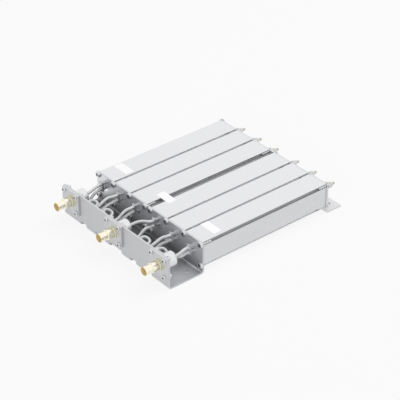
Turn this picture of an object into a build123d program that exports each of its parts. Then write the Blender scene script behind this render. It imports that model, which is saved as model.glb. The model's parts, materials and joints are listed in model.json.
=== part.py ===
from build123d import *
from math import radians, tan
import os

# Six-cavity duplexer: two extruded cavity blocks between two bent sheet brackets.
# X runs along the row of cavities, Y from the connector wall to the tuning rods, Z up from the
# mounting face. The origin is the centre of the four mounting holes. All sizes are in millimetres.

# Sheet metal
sheet = 2.0                     # brackets and connector plates
bend_radius = 2.0               # inside of every bend

# Cavity blocks
cavities_per_block = 3
cavity_pitch = 27.8
cavity_height = 29.5            # outside of the extrusion
cavity_length = 166.0           # a quarter wave at 450 MHz
cavity_wall = 1.6
cavity_corner = 1.0             # rounding inside a cavity
block_edge = 0.6                # rounding of a block's long edges
block_gap = 5.2                 # between the two blocks
block_lift = 6.5                # from the mounting face to the underside of the blocks

# Screw ports: the open C grooves that run the length of a block
port_drop = 2.45                # centre below the top face and above the underside
port_inset = 1.8                # centre of a corner port from the side of the block
port_slot = 3.0                 # opening of a port between two cavities
mouth_w = 1.2                   # opening of a corner port, in from the side of the block
mouth_h = 3.4                   # and down or up from its edge
port_wall = 1.2

# Pan head screws that hold the two plates to the blocks
plate_screw_d = 3.5
plate_screw_head_d = 7.0
plate_screw_head_h = 2.4
plate_screw_reach = 10.0        # thread in the port
thread_clearance = 0.05
hole_clearance = 0.2            # round a screw that passes through a sheet

# Front bracket, one bent U channel
bracket_overhang = 1.0          # past the blocks on each side
channel_depth = 45.0            # front of the wall to the back of the end plate
front_wall_height = 37.0
notch_height = 5.75
notch_reach = 7.0               # from the front of the wall into the floor
notch_width = 11.0
centre_notch_width = 21.6
inner_notch_x = 29.5
outer_notch_x = 54.5
notch_corner = 0.8

# Rear bracket and mounting holes
rear_flange = 20.0              # behind the rear plate
mount_hole_d = 4.5
mount_hole_inset = 9.5          # from the side of the blocks
front_hole_setback = 12.5       # in front of the blocks
rear_hole_setback = 13.5        # behind the blocks

# Connector plates and their screws
connector_x = 73.0              # outer jacks from the middle one
connector_z = 24.0
connector_plate_w = 28.0
connector_plate_h = 26.0
connector_plate_corner = 2.0
connector_screw_pitch = 20.0
connector_screw_d = 3.0
connector_screw_head_d = 5.6
connector_screw_head_h = 2.0
connector_screw_length = 8.0
connector_nut_flats = 5.5
connector_nut_h = 2.4

# BNC jacks, measured outwards from the connector plate
jack_flange_d = 12.8
jack_flange_t = 1.8
jack_body_d = 11.0
jack_body_end = 8.7
jack_neck_d = 8.8
jack_neck_end = 9.7
jack_barrel_d = 9.65
jack_barrel_front = 3.7         # full diameter, in front of the lugs
jack_barrel_rear_d = 9.2
jack_length = 17.8
jack_bore_d = 8.1
jack_bore_depth = 8.4
jack_lug_d = 2.0
jack_lug_span = 11.0
jack_lug_setback = 4.7          # from the tip
jack_shank_d = 8.0
jack_shank_reach = 3.5          # behind the wall
jack_nut_flats = 11.0
jack_nut_h = 2.5
insulator_d = 6.4
insulator_nose_d = 4.8
insulator_nose = 5.1            # stands into the barrel's bore
contact_d = 2.1
contact_bore_d = 1.35
contact_bore_depth = 5.0
contact_tail = 10.0             # behind the wall
part_clearance = 0.05           # between turned pieces that fit in each other

# Shield hoods behind the wall
hood_d = 16.0
hood_length = 14.8
hood_wall = 1.2
hood_round = 1.5

# Coax harness and the ferrules that take it into the end plate
coax_d = 3.2
coax_spacing = 5.8              # between the two cables of a ferrule
ferrule_w = 5.5
ferrule_tab = 2.2               # plate across the front of both sleeves
sleeve_d = 4.3
ferrule_edge = 1.2              # ferrule past the outside of each cable, up and down
ferrule_length = 6.5
ferrule_round = 0.7
coax_socket = 3.5               # depth of a cable's socket
coax_lead = 7.0                 # straight run out of a ferrule or a hood
upper_feed_rise = 8.15          # above the middle of the cavities
lower_feed_rise = 5.55
low_ports = (5, 6)              # ports whose loop is turned over, with the ferrule set lower

# Coupling loops inside the cavities
wire_d = 1.5
wire_clearance = 0.35           # round the wire in the ferrule
loop_reach = 23.0               # past the end plate
bead_d = 3.5

# Resonators
resonator_d = 8.0
resonator_bore_d = 6.0
resonator_length = 138.0
resonator_base = 8.0            # solid foot behind the end plate
spigot_d = 6.0

# Tuning rods
rod_d = 3.0
rod_overlap = 8.0               # rod tip inside the resonator
rod_out = 5.0                   # past the lock nut
rod_slot_w = 0.6
rod_slot_depth = 0.8
rod_tip_chamfer = 0.3
running_clearance = 0.05
bushing_d = 6.0
bushing_spigot_d = 5.0
bushing_length = 16.0           # behind the rear plate
lock_nut_flats = 5.5
lock_nut_h = 2.4

# Blank labels on top
label_w = 21.5
label_d = 10.3
label_t = 0.15
label_setback = 22.7            # middle of the labels behind the blocks' front end
label_xs = (-73.0, -1.0, 70.0)

# Places worked out from the sizes above
block_width = cavities_per_block * cavity_pitch
body_width = 2 * block_width + block_gap
bracket_width = body_width + 2 * bracket_overhang
block_top_z = block_lift + cavity_height
cavity_z = block_lift + cavity_height / 2
upper_feed_z = cavity_z + upper_feed_rise
lower_feed_z = cavity_z + lower_feed_rise
mount_spacing_x = body_width - 2 * mount_hole_inset
mount_spacing_y = front_hole_setback + cavity_length + rear_hole_setback
block_front_y = front_hole_setback - mount_spacing_y / 2
block_rear_y = block_front_y + cavity_length
end_plate_y = block_front_y - sheet                 # front face of the end plate
wall_front_y = block_front_y - channel_depth
wall_rear_y = wall_front_y + sheet
plate_front_y = wall_front_y - sheet                # front face of the connector plates
rear_plate_y = block_rear_y + sheet                 # rear face of the rear plate
flange_end_y = rear_plate_y + rear_flange
ferrule_front_y = end_plate_y - ferrule_length
block_xs = [side * (block_gap + block_width) / 2 for side in (-1, 1)]
cavity_steps = [(i - (cavities_per_block - 1) / 2) * cavity_pitch for i in range(cavities_per_block)]
cavity_xs = [block_x + step for block_x in block_xs for step in cavity_steps]
port_bore = plate_screw_d / 2 + thread_clearance
port_zs = (block_lift + port_drop, block_top_z - port_drop)
web_steps = [(i - cavities_per_block / 2) * cavity_pitch for i in range(1, cavities_per_block)]
corner_step = block_width / 2 - port_inset
port_steps = [-corner_step] + web_steps + [corner_step]
port_points = [(block_x + step, z) for block_x in block_xs for step in port_steps for z in port_zs]
mount_half_x = mount_spacing_x / 2
jack_xs = {"left": -connector_x, "middle": 0.0, "right": connector_x}
screw_half = connector_screw_pitch / 2
connector_screw_points = [(x + i * screw_half, connector_z + k * screw_half)
                          for x in jack_xs.values() for i in (-1, 1) for k in (-1, 1)]
jack_hole = jack_shank_d / 2 + hole_clearance
spigot_hole = spigot_d / 2 + part_clearance
bead_hole = bead_d / 2 + part_clearance
bushing_hole = bushing_spigot_d / 2 + part_clearance
rod_bore = rod_d / 2 + running_clearance
coax_hole = coax_d / 2 + part_clearance
lock_nut_y = rear_plate_y + bushing_length
rod_end_y = lock_nut_y + lock_nut_h + rod_out
resonator_end_y = block_front_y + resonator_length

os.makedirs("parts", exist_ok=True)


# Working planes
def facing(y):
    """Upright plane at y that faces the connectors: across is X, up is Z."""
    return Plane.XZ.offset(-y)


def lathe(x, y, z, toward):
    """Plane of a turned outline: across is the radius, up runs along Y, forwards or back."""
    return Plane(origin=(x, y, z), x_dir=(1, 0, 0), z_dir=(0, 0, toward))


def lathe_axis(plane):
    return Axis(plane.origin, plane.y_dir)


def feed_z(port):
    """Height at which a port's wire goes through the end plate."""
    return lower_feed_z if port in low_ports else upper_feed_z


def return_z(port):
    """Height at which the same wire comes back to the end plate."""
    return upper_feed_z if port in low_ports else lower_feed_z


# Harness routes
def port_run(port, upper):
    """Straight run of a cable out of its ferrule, from the bottom of the socket."""
    x = cavity_xs[port - 1]
    z = feed_z(port) if upper else feed_z(port) - coax_spacing
    socket_y = ferrule_front_y + coax_socket
    return [(x, socket_y, z), (x, socket_y - coax_lead, z)]


def hood_run(side):
    """Straight run of a cable from a jack's contact out through the middle of its hood."""
    x = jack_xs[side]
    start_y = wall_rear_y + contact_tail
    return [(x, start_y, connector_z), (x, start_y + coax_lead, connector_z)]


def in_channel(*points):
    """Points a cable is led through, each with its distance behind the front of the wall."""
    return [(x, wall_front_y + y, z) for x, y, z in points]


# Middle line of each link; three of them make one full turn on the way
coax_routes = {
    "coax_hood1_port1": hood_run("left") + in_channel((-72.6, 26.4, 26.2)) + port_run(1, True)[::-1],
    "coax_port1_port2": port_run(1, False) + in_channel(
        (-72.1, 25.5, 20.0), (-71.6, 19.4, 14.0), (-64.6, 12.6, 14.4), (-54.6, 12.0, 18.4),
        (-54.4, 20.8, 19.8), (-62.7, 21.0, 21.2), (-62.8, 12.4, 22.8), (-45.0, 9.6, 22.8),
        (-44.3, 17.2, 28.2), (-44.3, 25.1, 31.6)) + port_run(2, True)[::-1],
    "coax_port2_port3": port_run(2, False) + in_channel(
        (-44.3, 23.0, 22.2), (-43.5, 12.8, 19.0), (-30.1, 12.6, 19.0), (-29.9, 21.6, 20.2),
        (-38.8, 21.8, 22.0), (-39.0, 12.8, 23.6), (-17.4, 9.2, 22.2), (-16.5, 17.4, 22.8),
        (-16.5, 24.5, 29.0)) + port_run(3, True)[::-1],
    "coax_port3_hood2": port_run(3, False) + in_channel(
        (-16.5, 24.5, 21.4), (-16.3, 17.0, 18.2), (-14.8, 10.8, 17.2), (-10.2, 9.2, 18.4),
        (-4.9, 9.1, 20.6)),
    "coax_hood2_port4": in_channel(
        (3.6, 10.0, 25.8), (3.8, 19.0, 26.2), (6.2, 25.7, 28.0), (10.8, 30.5, 28.8)) + port_run(4, True)[::-1],
    "coax_port4_port5": port_run(4, False) + in_channel(
        (16.5, 26.0, 24.8), (16.7, 19.6, 19.8), (17.8, 12.4, 17.2), (32.8, 12.2, 18.4),
        (33.0, 21.2, 19.6), (24.1, 21.4, 21.4), (23.9, 12.4, 23.0), (43.4, 9.2, 22.4),
        (44.3, 17.4, 25.8), (44.3, 25.5, 28.8)) + port_run(5, True)[::-1],
    "coax_port5_port6": port_run(5, False) + in_channel(
        (44.3, 24.0, 21.8), (45.0, 13.8, 17.4), (58.4, 13.6, 17.8), (58.6, 22.6, 19.0),
        (49.7, 22.8, 20.8), (49.5, 13.8, 22.4), (59.4, 13.6, 22.2), (65.8, 21.6, 19.4),
        (71.2, 26.4, 19.0)) + port_run(6, False)[::-1],
    "coax_port6_hood3": port_run(6, True) + in_channel((72.5, 26.1, 24.6)) + hood_run("right")[::-1],
}


# Brackets
def make_front_bracket():
    """U channel with wall-foot notches, bent from one sheet."""
    with BuildPart() as front_bracket:
        with BuildSketch(Plane.YZ.offset(-bracket_width / 2)) as section:
            with BuildLine():
                Polyline((wall_front_y, front_wall_height), (wall_front_y, 0), (block_front_y, 0),
                         (block_front_y, block_top_z), (end_plate_y, block_top_z), (end_plate_y, sheet),
                         (wall_rear_y, sheet), (wall_rear_y, front_wall_height), close=True)
            make_face()
            levels = section.vertices().group_by(Axis.Y)
            fillet(levels[0], bend_radius + sheet)
            fillet(section.vertices().filter_by_position(Axis.Y, sheet, sheet), bend_radius)
        extrude(amount=bracket_width)
        with BuildSketch(facing(wall_front_y + notch_reach)):
            for x in (-outer_notch_x, -inner_notch_x, inner_notch_x, outer_notch_x):
                with Locations((x, 0)):
                    RectangleRounded(notch_width, 2 * notch_height, notch_corner)
            RectangleRounded(centre_notch_width, 2 * notch_height, notch_corner)
        extrude(amount=notch_reach + sheet, mode=Mode.SUBTRACT)
        with BuildSketch(facing(wall_rear_y)):
            with Locations(*[(x, connector_z) for x in jack_xs.values()]):
                Circle(jack_hole)
            with Locations(*connector_screw_points):
                Circle(connector_screw_d / 2 + hole_clearance)
        extrude(amount=sheet, mode=Mode.SUBTRACT)
        with BuildSketch(facing(block_front_y)):
            with Locations(*port_points):
                Circle(plate_screw_d / 2 + hole_clearance)
            with Locations(*[(x, cavity_z) for x in cavity_xs]):
                Circle(spigot_hole)
            with Locations(*[(x, feed_z(i + 1)) for i, x in enumerate(cavity_xs)]):
                Circle(bead_hole)
        extrude(amount=sheet, mode=Mode.SUBTRACT)
        with Locations((-mount_half_x, block_front_y - front_hole_setback, sheet),
                       (mount_half_x, block_front_y - front_hole_setback, sheet)):
            Hole(mount_hole_d / 2, depth=sheet)
    front_bracket.part.label = "front_bracket"
    export_step(front_bracket.part, "parts/front_bracket.step")


def make_rear_bracket():
    """Angle with the rear plate upright and its flange behind it."""
    with BuildPart() as rear_bracket:
        with BuildSketch(Plane.YZ.offset(-bracket_width / 2)) as section:
            with BuildLine():
                Polyline((block_rear_y, block_top_z), (block_rear_y, 0), (flange_end_y, 0),
                         (flange_end_y, sheet), (rear_plate_y, sheet), (rear_plate_y, block_top_z),
                         close=True)
            make_face()
            fillet(section.vertices().group_by(Axis.Y)[0].sort_by(Axis.X)[0], bend_radius + sheet)
            inside = section.vertices().filter_by_position(Axis.Y, sheet, sheet)
            fillet(inside.sort_by(Axis.X)[0], bend_radius)
        extrude(amount=bracket_width)
        with BuildSketch(facing(rear_plate_y)):
            with Locations(*port_points):
                Circle(plate_screw_d / 2 + hole_clearance)
            with Locations(*[(x, cavity_z) for x in cavity_xs]):
                Circle(bushing_hole)
        extrude(amount=sheet, mode=Mode.SUBTRACT)
        with Locations((-mount_half_x, block_rear_y + rear_hole_setback, sheet),
                       (mount_half_x, block_rear_y + rear_hole_setback, sheet)):
            Hole(mount_hole_d / 2, depth=sheet)
    rear_bracket.part.label = "rear_bracket"
    export_step(rear_bracket.part, "parts/rear_bracket.step")


# Cavity blocks
def make_cavity_block(block_x, side):
    """Extruded block: cavities in a row, with C-shaped screw ports on the webs and at the corners."""
    half_width = block_width / 2
    edge_zs = {port_zs[0]: block_lift, port_zs[1]: block_top_z}
    with BuildPart() as block:
        with BuildSketch(facing(block_rear_y)):
            with Locations((block_x, cavity_z)):
                Rectangle(block_width, cavity_height)
            with Locations(*[(block_x + step, cavity_z) for step in cavity_steps]):
                RectangleRounded(cavity_pitch - 2 * cavity_wall, cavity_height - 2 * cavity_wall,
                                 cavity_corner, mode=Mode.SUBTRACT)
            with Locations(*[(block_x + step, z) for step in port_steps for z in port_zs]):
                Circle(port_bore + port_wall)
            with Locations((block_x, cavity_z)):
                RectangleRounded(block_width, cavity_height, block_edge, mode=Mode.INTERSECT)
            with Locations(*[(block_x + step, z) for step in port_steps for z in port_zs]):
                Circle(port_bore, mode=Mode.SUBTRACT)
            with Locations(*[(block_x + step, edge_zs[z]) for step in web_steps for z in port_zs]):
                Rectangle(port_slot, 2 * port_drop, mode=Mode.SUBTRACT)
            with Locations(*[(block_x + i * half_width, edge_zs[z]) for i in (-1, 1) for z in port_zs]):
                Rectangle(2 * mouth_w, 2 * mouth_h, mode=Mode.SUBTRACT)
        extrude(amount=cavity_length)
    block.part.label = f"cavity_block_{side}"
    export_step(block.part, f"parts/cavity_block_{side}.step")


# Fasteners
def make_pan_screws(label, points, seat_y, turn, diameter, head_d, head_h, length):
    """Group of pan head screws: each is turned at the origin with its shank along Y, then placed."""
    plane = lathe(0, 0, 0, 1)
    with BuildPart() as screw:
        with BuildSketch(plane) as outline:
            with BuildLine():
                Polyline((0, -head_h), (head_d / 2, -head_h), (head_d / 2, 0), (diameter / 2, 0),
                         (diameter / 2, length), (0, length), close=True)
            make_face()
            rim = outline.vertices().group_by(Axis.Y)[0].sort_by(Axis.X)[-1]
            fillet(rim, head_h / 2)
        revolve(axis=lathe_axis(plane))
    with BuildPart() as screws:
        with Locations(*[Location((x, seat_y, z), (0, 0, turn)) for x, z in points]):
            add(screw.part)
    screws.part.label = label
    export_step(screws.part, f"parts/{label}.step")


def make_nuts(label, points, near_y, flats, thickness, bore):
    """Group of hexagon nuts on the rear side of a plate."""
    with BuildPart() as nuts:
        with BuildSketch(facing(near_y + thickness)):
            with Locations(*points):
                RegularPolygon(flats / 2, 6, major_radius=False, rotation=30)
                Circle(bore, mode=Mode.SUBTRACT)
        extrude(amount=thickness)
    nuts.part.label = label
    export_step(nuts.part, f"parts/{label}.step")


# Connectors
def make_connector_plate(x, side):
    """Flat plate under a jack."""
    points = [point for point in connector_screw_points if abs(point[0] - x) < connector_plate_w]
    with BuildPart() as plate:
        with BuildSketch(facing(wall_front_y)):
            with Locations((x, connector_z)):
                RectangleRounded(connector_plate_w, connector_plate_h, connector_plate_corner)
                Circle(jack_hole, mode=Mode.SUBTRACT)
            with Locations(*points):
                Circle(connector_screw_d / 2 + hole_clearance, mode=Mode.SUBTRACT)
        extrude(amount=sheet)
    plate.part.label = f"connector_plate_{side}"
    export_step(plate.part, f"parts/connector_plate_{side}.step")


def make_jack(x, side):
    """Turned BNC jack body with its two bayonet lugs."""
    plane = lathe(x, plate_front_y, connector_z, -1)
    shank_end = 2 * sheet + jack_shank_reach
    reference = jack_length - jack_bore_depth
    with BuildPart() as jack:
        with BuildSketch(plane) as outline:
            with BuildLine():
                Polyline((0, -shank_end), (jack_shank_d / 2, -shank_end), (jack_shank_d / 2, 0),
                         (jack_flange_d / 2, 0), (jack_flange_d / 2, jack_flange_t),
                         (jack_body_d / 2, jack_flange_t), (jack_body_d / 2, jack_body_end),
                         (jack_neck_d / 2, jack_body_end), (jack_neck_d / 2, jack_neck_end),
                         (jack_barrel_rear_d / 2, jack_neck_end),
                         (jack_barrel_rear_d / 2, jack_length - jack_barrel_front),
                         (jack_barrel_d / 2, jack_length - jack_barrel_front),
                         (jack_barrel_d / 2, jack_length), (0, jack_length), close=True)
            make_face()
        revolve(axis=lathe_axis(plane))
        with BuildSketch(Plane.YZ.offset(x)):
            with Locations((plate_front_y - jack_length + jack_lug_setback, connector_z)):
                Circle(jack_lug_d / 2)
        extrude(amount=jack_lug_span / 2, both=True)
        with BuildSketch(plane):
            with BuildLine():
                Polyline((0, -shank_end), (insulator_d / 2 + part_clearance, -shank_end),
                         (insulator_d / 2 + part_clearance, reference), (jack_bore_d / 2, reference),
                         (jack_bore_d / 2, jack_length), (0, jack_length), close=True)
            make_face()
        revolve(axis=lathe_axis(plane), mode=Mode.SUBTRACT)
        tip = jack.edges().filter_by(GeomType.CIRCLE).group_by(Axis.Y)[0]
        chamfer(tip, (jack_barrel_d - jack_bore_d) / 8)
    jack.part.label = f"jack_{side}"
    export_step(jack.part, f"parts/jack_{side}.step")


def make_jack_insulator(x, side):
    """Dielectric bushing with a nose that stands in the barrel."""
    plane = lathe(x, plate_front_y, connector_z, -1)
    shank_end = 2 * sheet + jack_shank_reach
    reference = jack_length - jack_bore_depth
    bore = contact_d / 2 + part_clearance
    with BuildPart() as insulator:
        with BuildSketch(plane):
            with BuildLine():
                Polyline((bore, -shank_end), (insulator_d / 2, -shank_end), (insulator_d / 2, reference),
                         (insulator_nose_d / 2, reference), (insulator_nose_d / 2, reference + insulator_nose),
                         (bore, reference + insulator_nose), close=True)
            make_face()
        revolve(axis=lathe_axis(plane))
    insulator.part.label = f"jack_insulator_{side}"
    export_step(insulator.part, f"parts/jack_insulator_{side}.step")


def make_jack_contact(x, side):
    """Socket contact with its solder tail inside the hood."""
    plane = lathe(x, plate_front_y, connector_z, -1)
    front = jack_length - jack_bore_depth + insulator_nose
    tail_end = 2 * sheet + contact_tail
    with BuildPart() as contact:
        with BuildSketch(plane):
            with BuildLine():
                Polyline((0, -tail_end), (contact_d / 2, -tail_end), (contact_d / 2, front),
                         (contact_bore_d / 2, front), (contact_bore_d / 2, front - contact_bore_depth),
                         (0, front - contact_bore_depth), close=True)
            make_face()
        revolve(axis=lathe_axis(plane))
    contact.part.label = f"jack_contact_{side}"
    export_step(contact.part, f"parts/jack_contact_{side}.step")


def make_hood(x, side, cable_ends):
    """Round shield can, with a hole bored along each cable that enters it."""
    plane = lathe(x, wall_rear_y, connector_z, 1)
    inside = hood_d / 2 - hood_wall
    with BuildPart() as hood:
        with BuildSketch(plane) as outline:
            with BuildLine():
                Polyline((inside, 0), (hood_d / 2, 0), (hood_d / 2, hood_length), (0, hood_length),
                         (0, hood_length - hood_wall), (inside, hood_length - hood_wall), close=True)
            make_face()
            rim = outline.vertices().group_by(Axis.Y)[-1].sort_by(Axis.X)[-1]
            fillet(rim, hood_round)
        revolve(axis=lathe_axis(plane))
        for end, before in cable_ends:
            with BuildSketch(Plane(origin=end, z_dir=Vector(before) - Vector(end))):
                Circle(coax_hole)
            extrude(amount=hood_d, mode=Mode.SUBTRACT)
    hood.part.label = f"connector_hood_{side}"
    export_step(hood.part, f"parts/connector_hood_{side}.step")


# Ports
def make_ferrule(port, x):
    """Two cable sleeves on the end plate joined by a tab, with a way through for the loop's wire."""
    top = feed_z(port) + coax_d / 2 + ferrule_edge
    bottom = feed_z(port) - coax_spacing - coax_d / 2 - ferrule_edge
    with BuildPart() as ferrule:
        with BuildSketch(facing(end_plate_y)):
            with Locations((x, feed_z(port)), (x, feed_z(port) - coax_spacing)):
                Circle(sleeve_d / 2)
        extrude(amount=ferrule_length)
        with BuildSketch(facing(ferrule_front_y + ferrule_tab)):
            with Locations((x, (top + bottom) / 2)):
                RectangleRounded(ferrule_w, top - bottom, ferrule_round)
        extrude(amount=ferrule_tab)
        front = ferrule.faces().sort_by(Axis.Y)[0]
        fillet(front.edges(), ferrule_round / 2)
        with BuildSketch(facing(ferrule_front_y + coax_socket)):
            with Locations((x, feed_z(port)), (x, feed_z(port) - coax_spacing)):
                Circle(coax_hole)
        extrude(amount=coax_socket + sheet, mode=Mode.SUBTRACT)
        with BuildSketch(facing(end_plate_y)):
            with Locations((x, feed_z(port))):
                Circle(wire_d / 2 + wire_clearance)
        extrude(amount=ferrule_length - coax_socket / 2, mode=Mode.SUBTRACT)
    ferrule.part.label = f"port_ferrule_{port}"
    export_step(ferrule.part, f"parts/port_ferrule_{port}.step")


def make_coupling_loop(port, x):
    """Wire hairpin: from the cable's socket through the end plate and back to its inner face."""
    start_y = ferrule_front_y + coax_socket
    turn_y = block_front_y + loop_reach - wire_d / 2 - (upper_feed_z - lower_feed_z) / 2
    with BuildPart() as loop:
        with BuildLine() as path:
            out = Line((x, start_y, feed_z(port)), (x, turn_y, feed_z(port)))
            turn_end = (x, turn_y, return_z(port))
            far = (x, turn_y + (upper_feed_z - lower_feed_z) / 2, (upper_feed_z + lower_feed_z) / 2)
            ThreePointArc(out @ 1, far, turn_end)
            Line(turn_end, (x, block_front_y, return_z(port)))
        with BuildSketch(Plane(origin=path.line @ 0, z_dir=path.line % 0)):
            Circle(wire_d / 2)
        sweep()
    loop.part.label = f"coupling_loop_{port}"
    export_step(loop.part, f"parts/coupling_loop_{port}.step")


def make_feed_beads():
    """Insulating beads that hold the loops' wires in the end plate."""
    with BuildPart() as beads:
        with BuildSketch(facing(block_front_y)):
            with Locations(*[(x, feed_z(i + 1)) for i, x in enumerate(cavity_xs)]):
                Circle(bead_d / 2)
                Circle(wire_d / 2 + part_clearance, mode=Mode.SUBTRACT)
        extrude(amount=sheet)
    beads.part.label = "feed_beads"
    export_step(beads.part, "parts/feed_beads.step")


# Resonators and tuners
def make_resonator(number, x):
    """Quarter-wave tube on a spigot that is flush with the front of the end plate."""
    plane = lathe(x, block_front_y, cavity_z, 1)
    with BuildPart() as resonator:
        with BuildSketch(plane):
            with BuildLine():
                Polyline((0, -sheet), (spigot_d / 2, -sheet), (spigot_d / 2, 0), (resonator_d / 2, 0),
                         (resonator_d / 2, resonator_length), (resonator_bore_d / 2, resonator_length),
                         (resonator_bore_d / 2, resonator_base), (0, resonator_base), close=True)
            make_face()
        revolve(axis=lathe_axis(plane))
    resonator.part.label = f"resonator_{number}"
    export_step(resonator.part, f"parts/resonator_{number}.step")


def make_tuning_rod(number, x):
    """Rod from inside the resonator's open end out through the rear plate, slotted for a driver."""
    length = rod_end_y - resonator_end_y + rod_overlap
    plane = lathe(x, resonator_end_y - rod_overlap, cavity_z, 1)
    with BuildPart() as rod:
        with BuildSketch(plane) as outline:
            with BuildLine():
                Polyline((0, 0), (rod_d / 2, 0), (rod_d / 2, length), (0, length), close=True)
            make_face()
            chamfer(outline.vertices().group_by(Axis.X)[-1], rod_tip_chamfer)
        revolve(axis=lathe_axis(plane))
        with BuildSketch(facing(rod_end_y)):
            with Locations((x, cavity_z)):
                Rectangle(2 * rod_d, rod_slot_w)
        extrude(amount=rod_slot_depth, mode=Mode.SUBTRACT)
    rod.part.label = f"tuning_rod_{number}"
    export_step(rod.part, f"parts/tuning_rod_{number}.step")


def make_tuning_bushings():
    """Bored bushings set in the rear plate, one for each rod."""
    plane = lathe(0, rear_plate_y, 0, 1)
    with BuildPart() as bushing:
        with BuildSketch(plane):
            with BuildLine():
                Polyline((rod_bore, -sheet), (bushing_spigot_d / 2, -sheet), (bushing_spigot_d / 2, 0),
                         (bushing_d / 2, 0), (bushing_d / 2, bushing_length), (rod_bore, bushing_length),
                         close=True)
            make_face()
        revolve(axis=lathe_axis(plane))
    with BuildPart() as bushings:
        with Locations(*[(x, 0, cavity_z) for x in cavity_xs]):
            add(bushing.part)
    bushings.part.label = "tuning_bushings"
    export_step(bushings.part, "parts/tuning_bushings.step")


# Harness
def make_coax(name, points):
    """One cable: straight runs joined by tangent arcs as large as the runs allow."""
    vectors = [Vector(*point) for point in points]
    runs = [after - before for before, after in zip(vectors, vectors[1:])]
    corner_radii = []
    for before, after in zip(runs, runs[1:]):
        half_turn = radians(before.get_angle(after)) / 2
        corner_radii.append(0.45 * min(before.length, after.length) / tan(half_turn))
    with BuildPart() as coax:
        with BuildLine() as path:
            FilletPolyline(*points, radius=corner_radii)
        with BuildSketch(Plane(origin=path.line @ 0, z_dir=path.line % 0)):
            Circle(coax_d / 2)
        sweep()
    coax.part.label = name
    export_step(coax.part, f"parts/{name}.step")
    length = path.wire().length
    expected = length * Circle(coax_d / 2, mode=Mode.PRIVATE).area
    print(f"{name}: {length:.1f} long, volume {coax.part.volume:.1f} of {expected:.1f}, radii",
          [round(radius, 1) for radius in corner_radii])


# Labels
def make_labels():
    """Three blank labels; the middle one bridges the gap between the blocks."""
    with BuildPart() as labels:
        with BuildSketch(Plane.XY.offset(block_top_z)):
            with Locations(*[(x, block_front_y + label_setback) for x in label_xs]):
                RectangleRounded(label_w, label_d, label_t)
        extrude(amount=label_t)
    labels.part.label = "labels"
    export_step(labels.part, "parts/labels.step")


# The whole duplexer
make_front_bracket()
make_rear_bracket()
for block_x, side in zip(block_xs, ("left", "right")):
    make_cavity_block(block_x, side)

hood_cables = {
    "left": [coax_routes["coax_hood1_port1"][:2]],
    "middle": [coax_routes["coax_port3_hood2"][:-3:-1], coax_routes["coax_hood2_port4"][:2]],
    "right": [coax_routes["coax_port6_hood3"][:-3:-1]],
}
for side, x in jack_xs.items():
    make_connector_plate(x, side)
    make_jack(x, side)
    make_jack_insulator(x, side)
    make_jack_contact(x, side)
    make_hood(x, side, hood_cables[side])
make_pan_screws("connector_screws", connector_screw_points, plate_front_y, 0, connector_screw_d,
                connector_screw_head_d, connector_screw_head_h, connector_screw_length)
make_nuts("connector_nuts", connector_screw_points, wall_rear_y, connector_nut_flats,
          connector_nut_h, connector_screw_d / 2 + part_clearance)
make_nuts("jack_nuts", [(x, connector_z) for x in jack_xs.values()], wall_rear_y, jack_nut_flats,
          jack_nut_h, jack_shank_d / 2 + part_clearance)

plate_screw_length = sheet + plate_screw_reach
make_pan_screws("end_plate_screws", port_points, end_plate_y, 0, plate_screw_d,
                plate_screw_head_d, plate_screw_head_h, plate_screw_length)
make_pan_screws("rear_plate_screws", port_points, rear_plate_y, 180, plate_screw_d,
                plate_screw_head_d, plate_screw_head_h, plate_screw_length)

for number, x in enumerate(cavity_xs, start=1):
    make_ferrule(number, x)
    make_coupling_loop(number, x)
    make_resonator(number, x)
    make_tuning_rod(number, x)
make_feed_beads()
make_tuning_bushings()
make_nuts("tuning_lock_nuts", [(x, cavity_z) for x in cavity_xs], lock_nut_y, lock_nut_flats,
          lock_nut_h, rod_bore)

for name, points in coax_routes.items():
    make_coax(name, points)
make_labels()
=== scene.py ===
"""Cavity duplexer dressed in Blender: six long cavities, three jacks and the coax harness between them.

Sizes and places are in millimetres in the CAD's frame: X runs along the row of cavities, Y from the jacks to
the tuning screws, and Z up from the mounting face. Only the stage's camera and lamps are placed in metres.
"""
import json
import logging
import math
from collections.abc import Mapping, Sequence
from dataclasses import dataclass
from enum import Enum
from typing import ClassVar

import bmesh
import bpy
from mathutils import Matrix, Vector

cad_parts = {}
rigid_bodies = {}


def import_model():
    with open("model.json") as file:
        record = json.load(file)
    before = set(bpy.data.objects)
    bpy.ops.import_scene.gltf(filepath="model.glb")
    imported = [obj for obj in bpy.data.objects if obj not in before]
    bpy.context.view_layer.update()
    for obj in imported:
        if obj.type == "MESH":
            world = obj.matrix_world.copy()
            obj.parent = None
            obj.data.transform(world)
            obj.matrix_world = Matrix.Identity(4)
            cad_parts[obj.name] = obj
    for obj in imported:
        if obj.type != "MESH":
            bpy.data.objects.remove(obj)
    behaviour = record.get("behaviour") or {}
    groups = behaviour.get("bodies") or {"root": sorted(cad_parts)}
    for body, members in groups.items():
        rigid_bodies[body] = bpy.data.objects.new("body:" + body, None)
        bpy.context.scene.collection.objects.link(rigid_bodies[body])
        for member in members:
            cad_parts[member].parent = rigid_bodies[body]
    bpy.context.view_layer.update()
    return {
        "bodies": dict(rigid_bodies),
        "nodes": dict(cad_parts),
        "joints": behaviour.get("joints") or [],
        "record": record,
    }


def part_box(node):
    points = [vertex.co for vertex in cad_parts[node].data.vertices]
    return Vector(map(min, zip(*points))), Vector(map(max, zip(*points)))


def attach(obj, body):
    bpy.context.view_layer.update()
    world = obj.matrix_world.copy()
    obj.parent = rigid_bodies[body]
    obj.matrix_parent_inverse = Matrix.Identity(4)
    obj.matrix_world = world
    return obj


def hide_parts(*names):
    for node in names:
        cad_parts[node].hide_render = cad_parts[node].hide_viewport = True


LOG = logging.getLogger("duplexer")
MM = 0.001
CAVITIES = range(1, 7)
Colour = tuple[float, float, float]
Point = tuple[float, float, float]
Span = tuple[float, float]
Ring = tuple[float, float, int]


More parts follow.
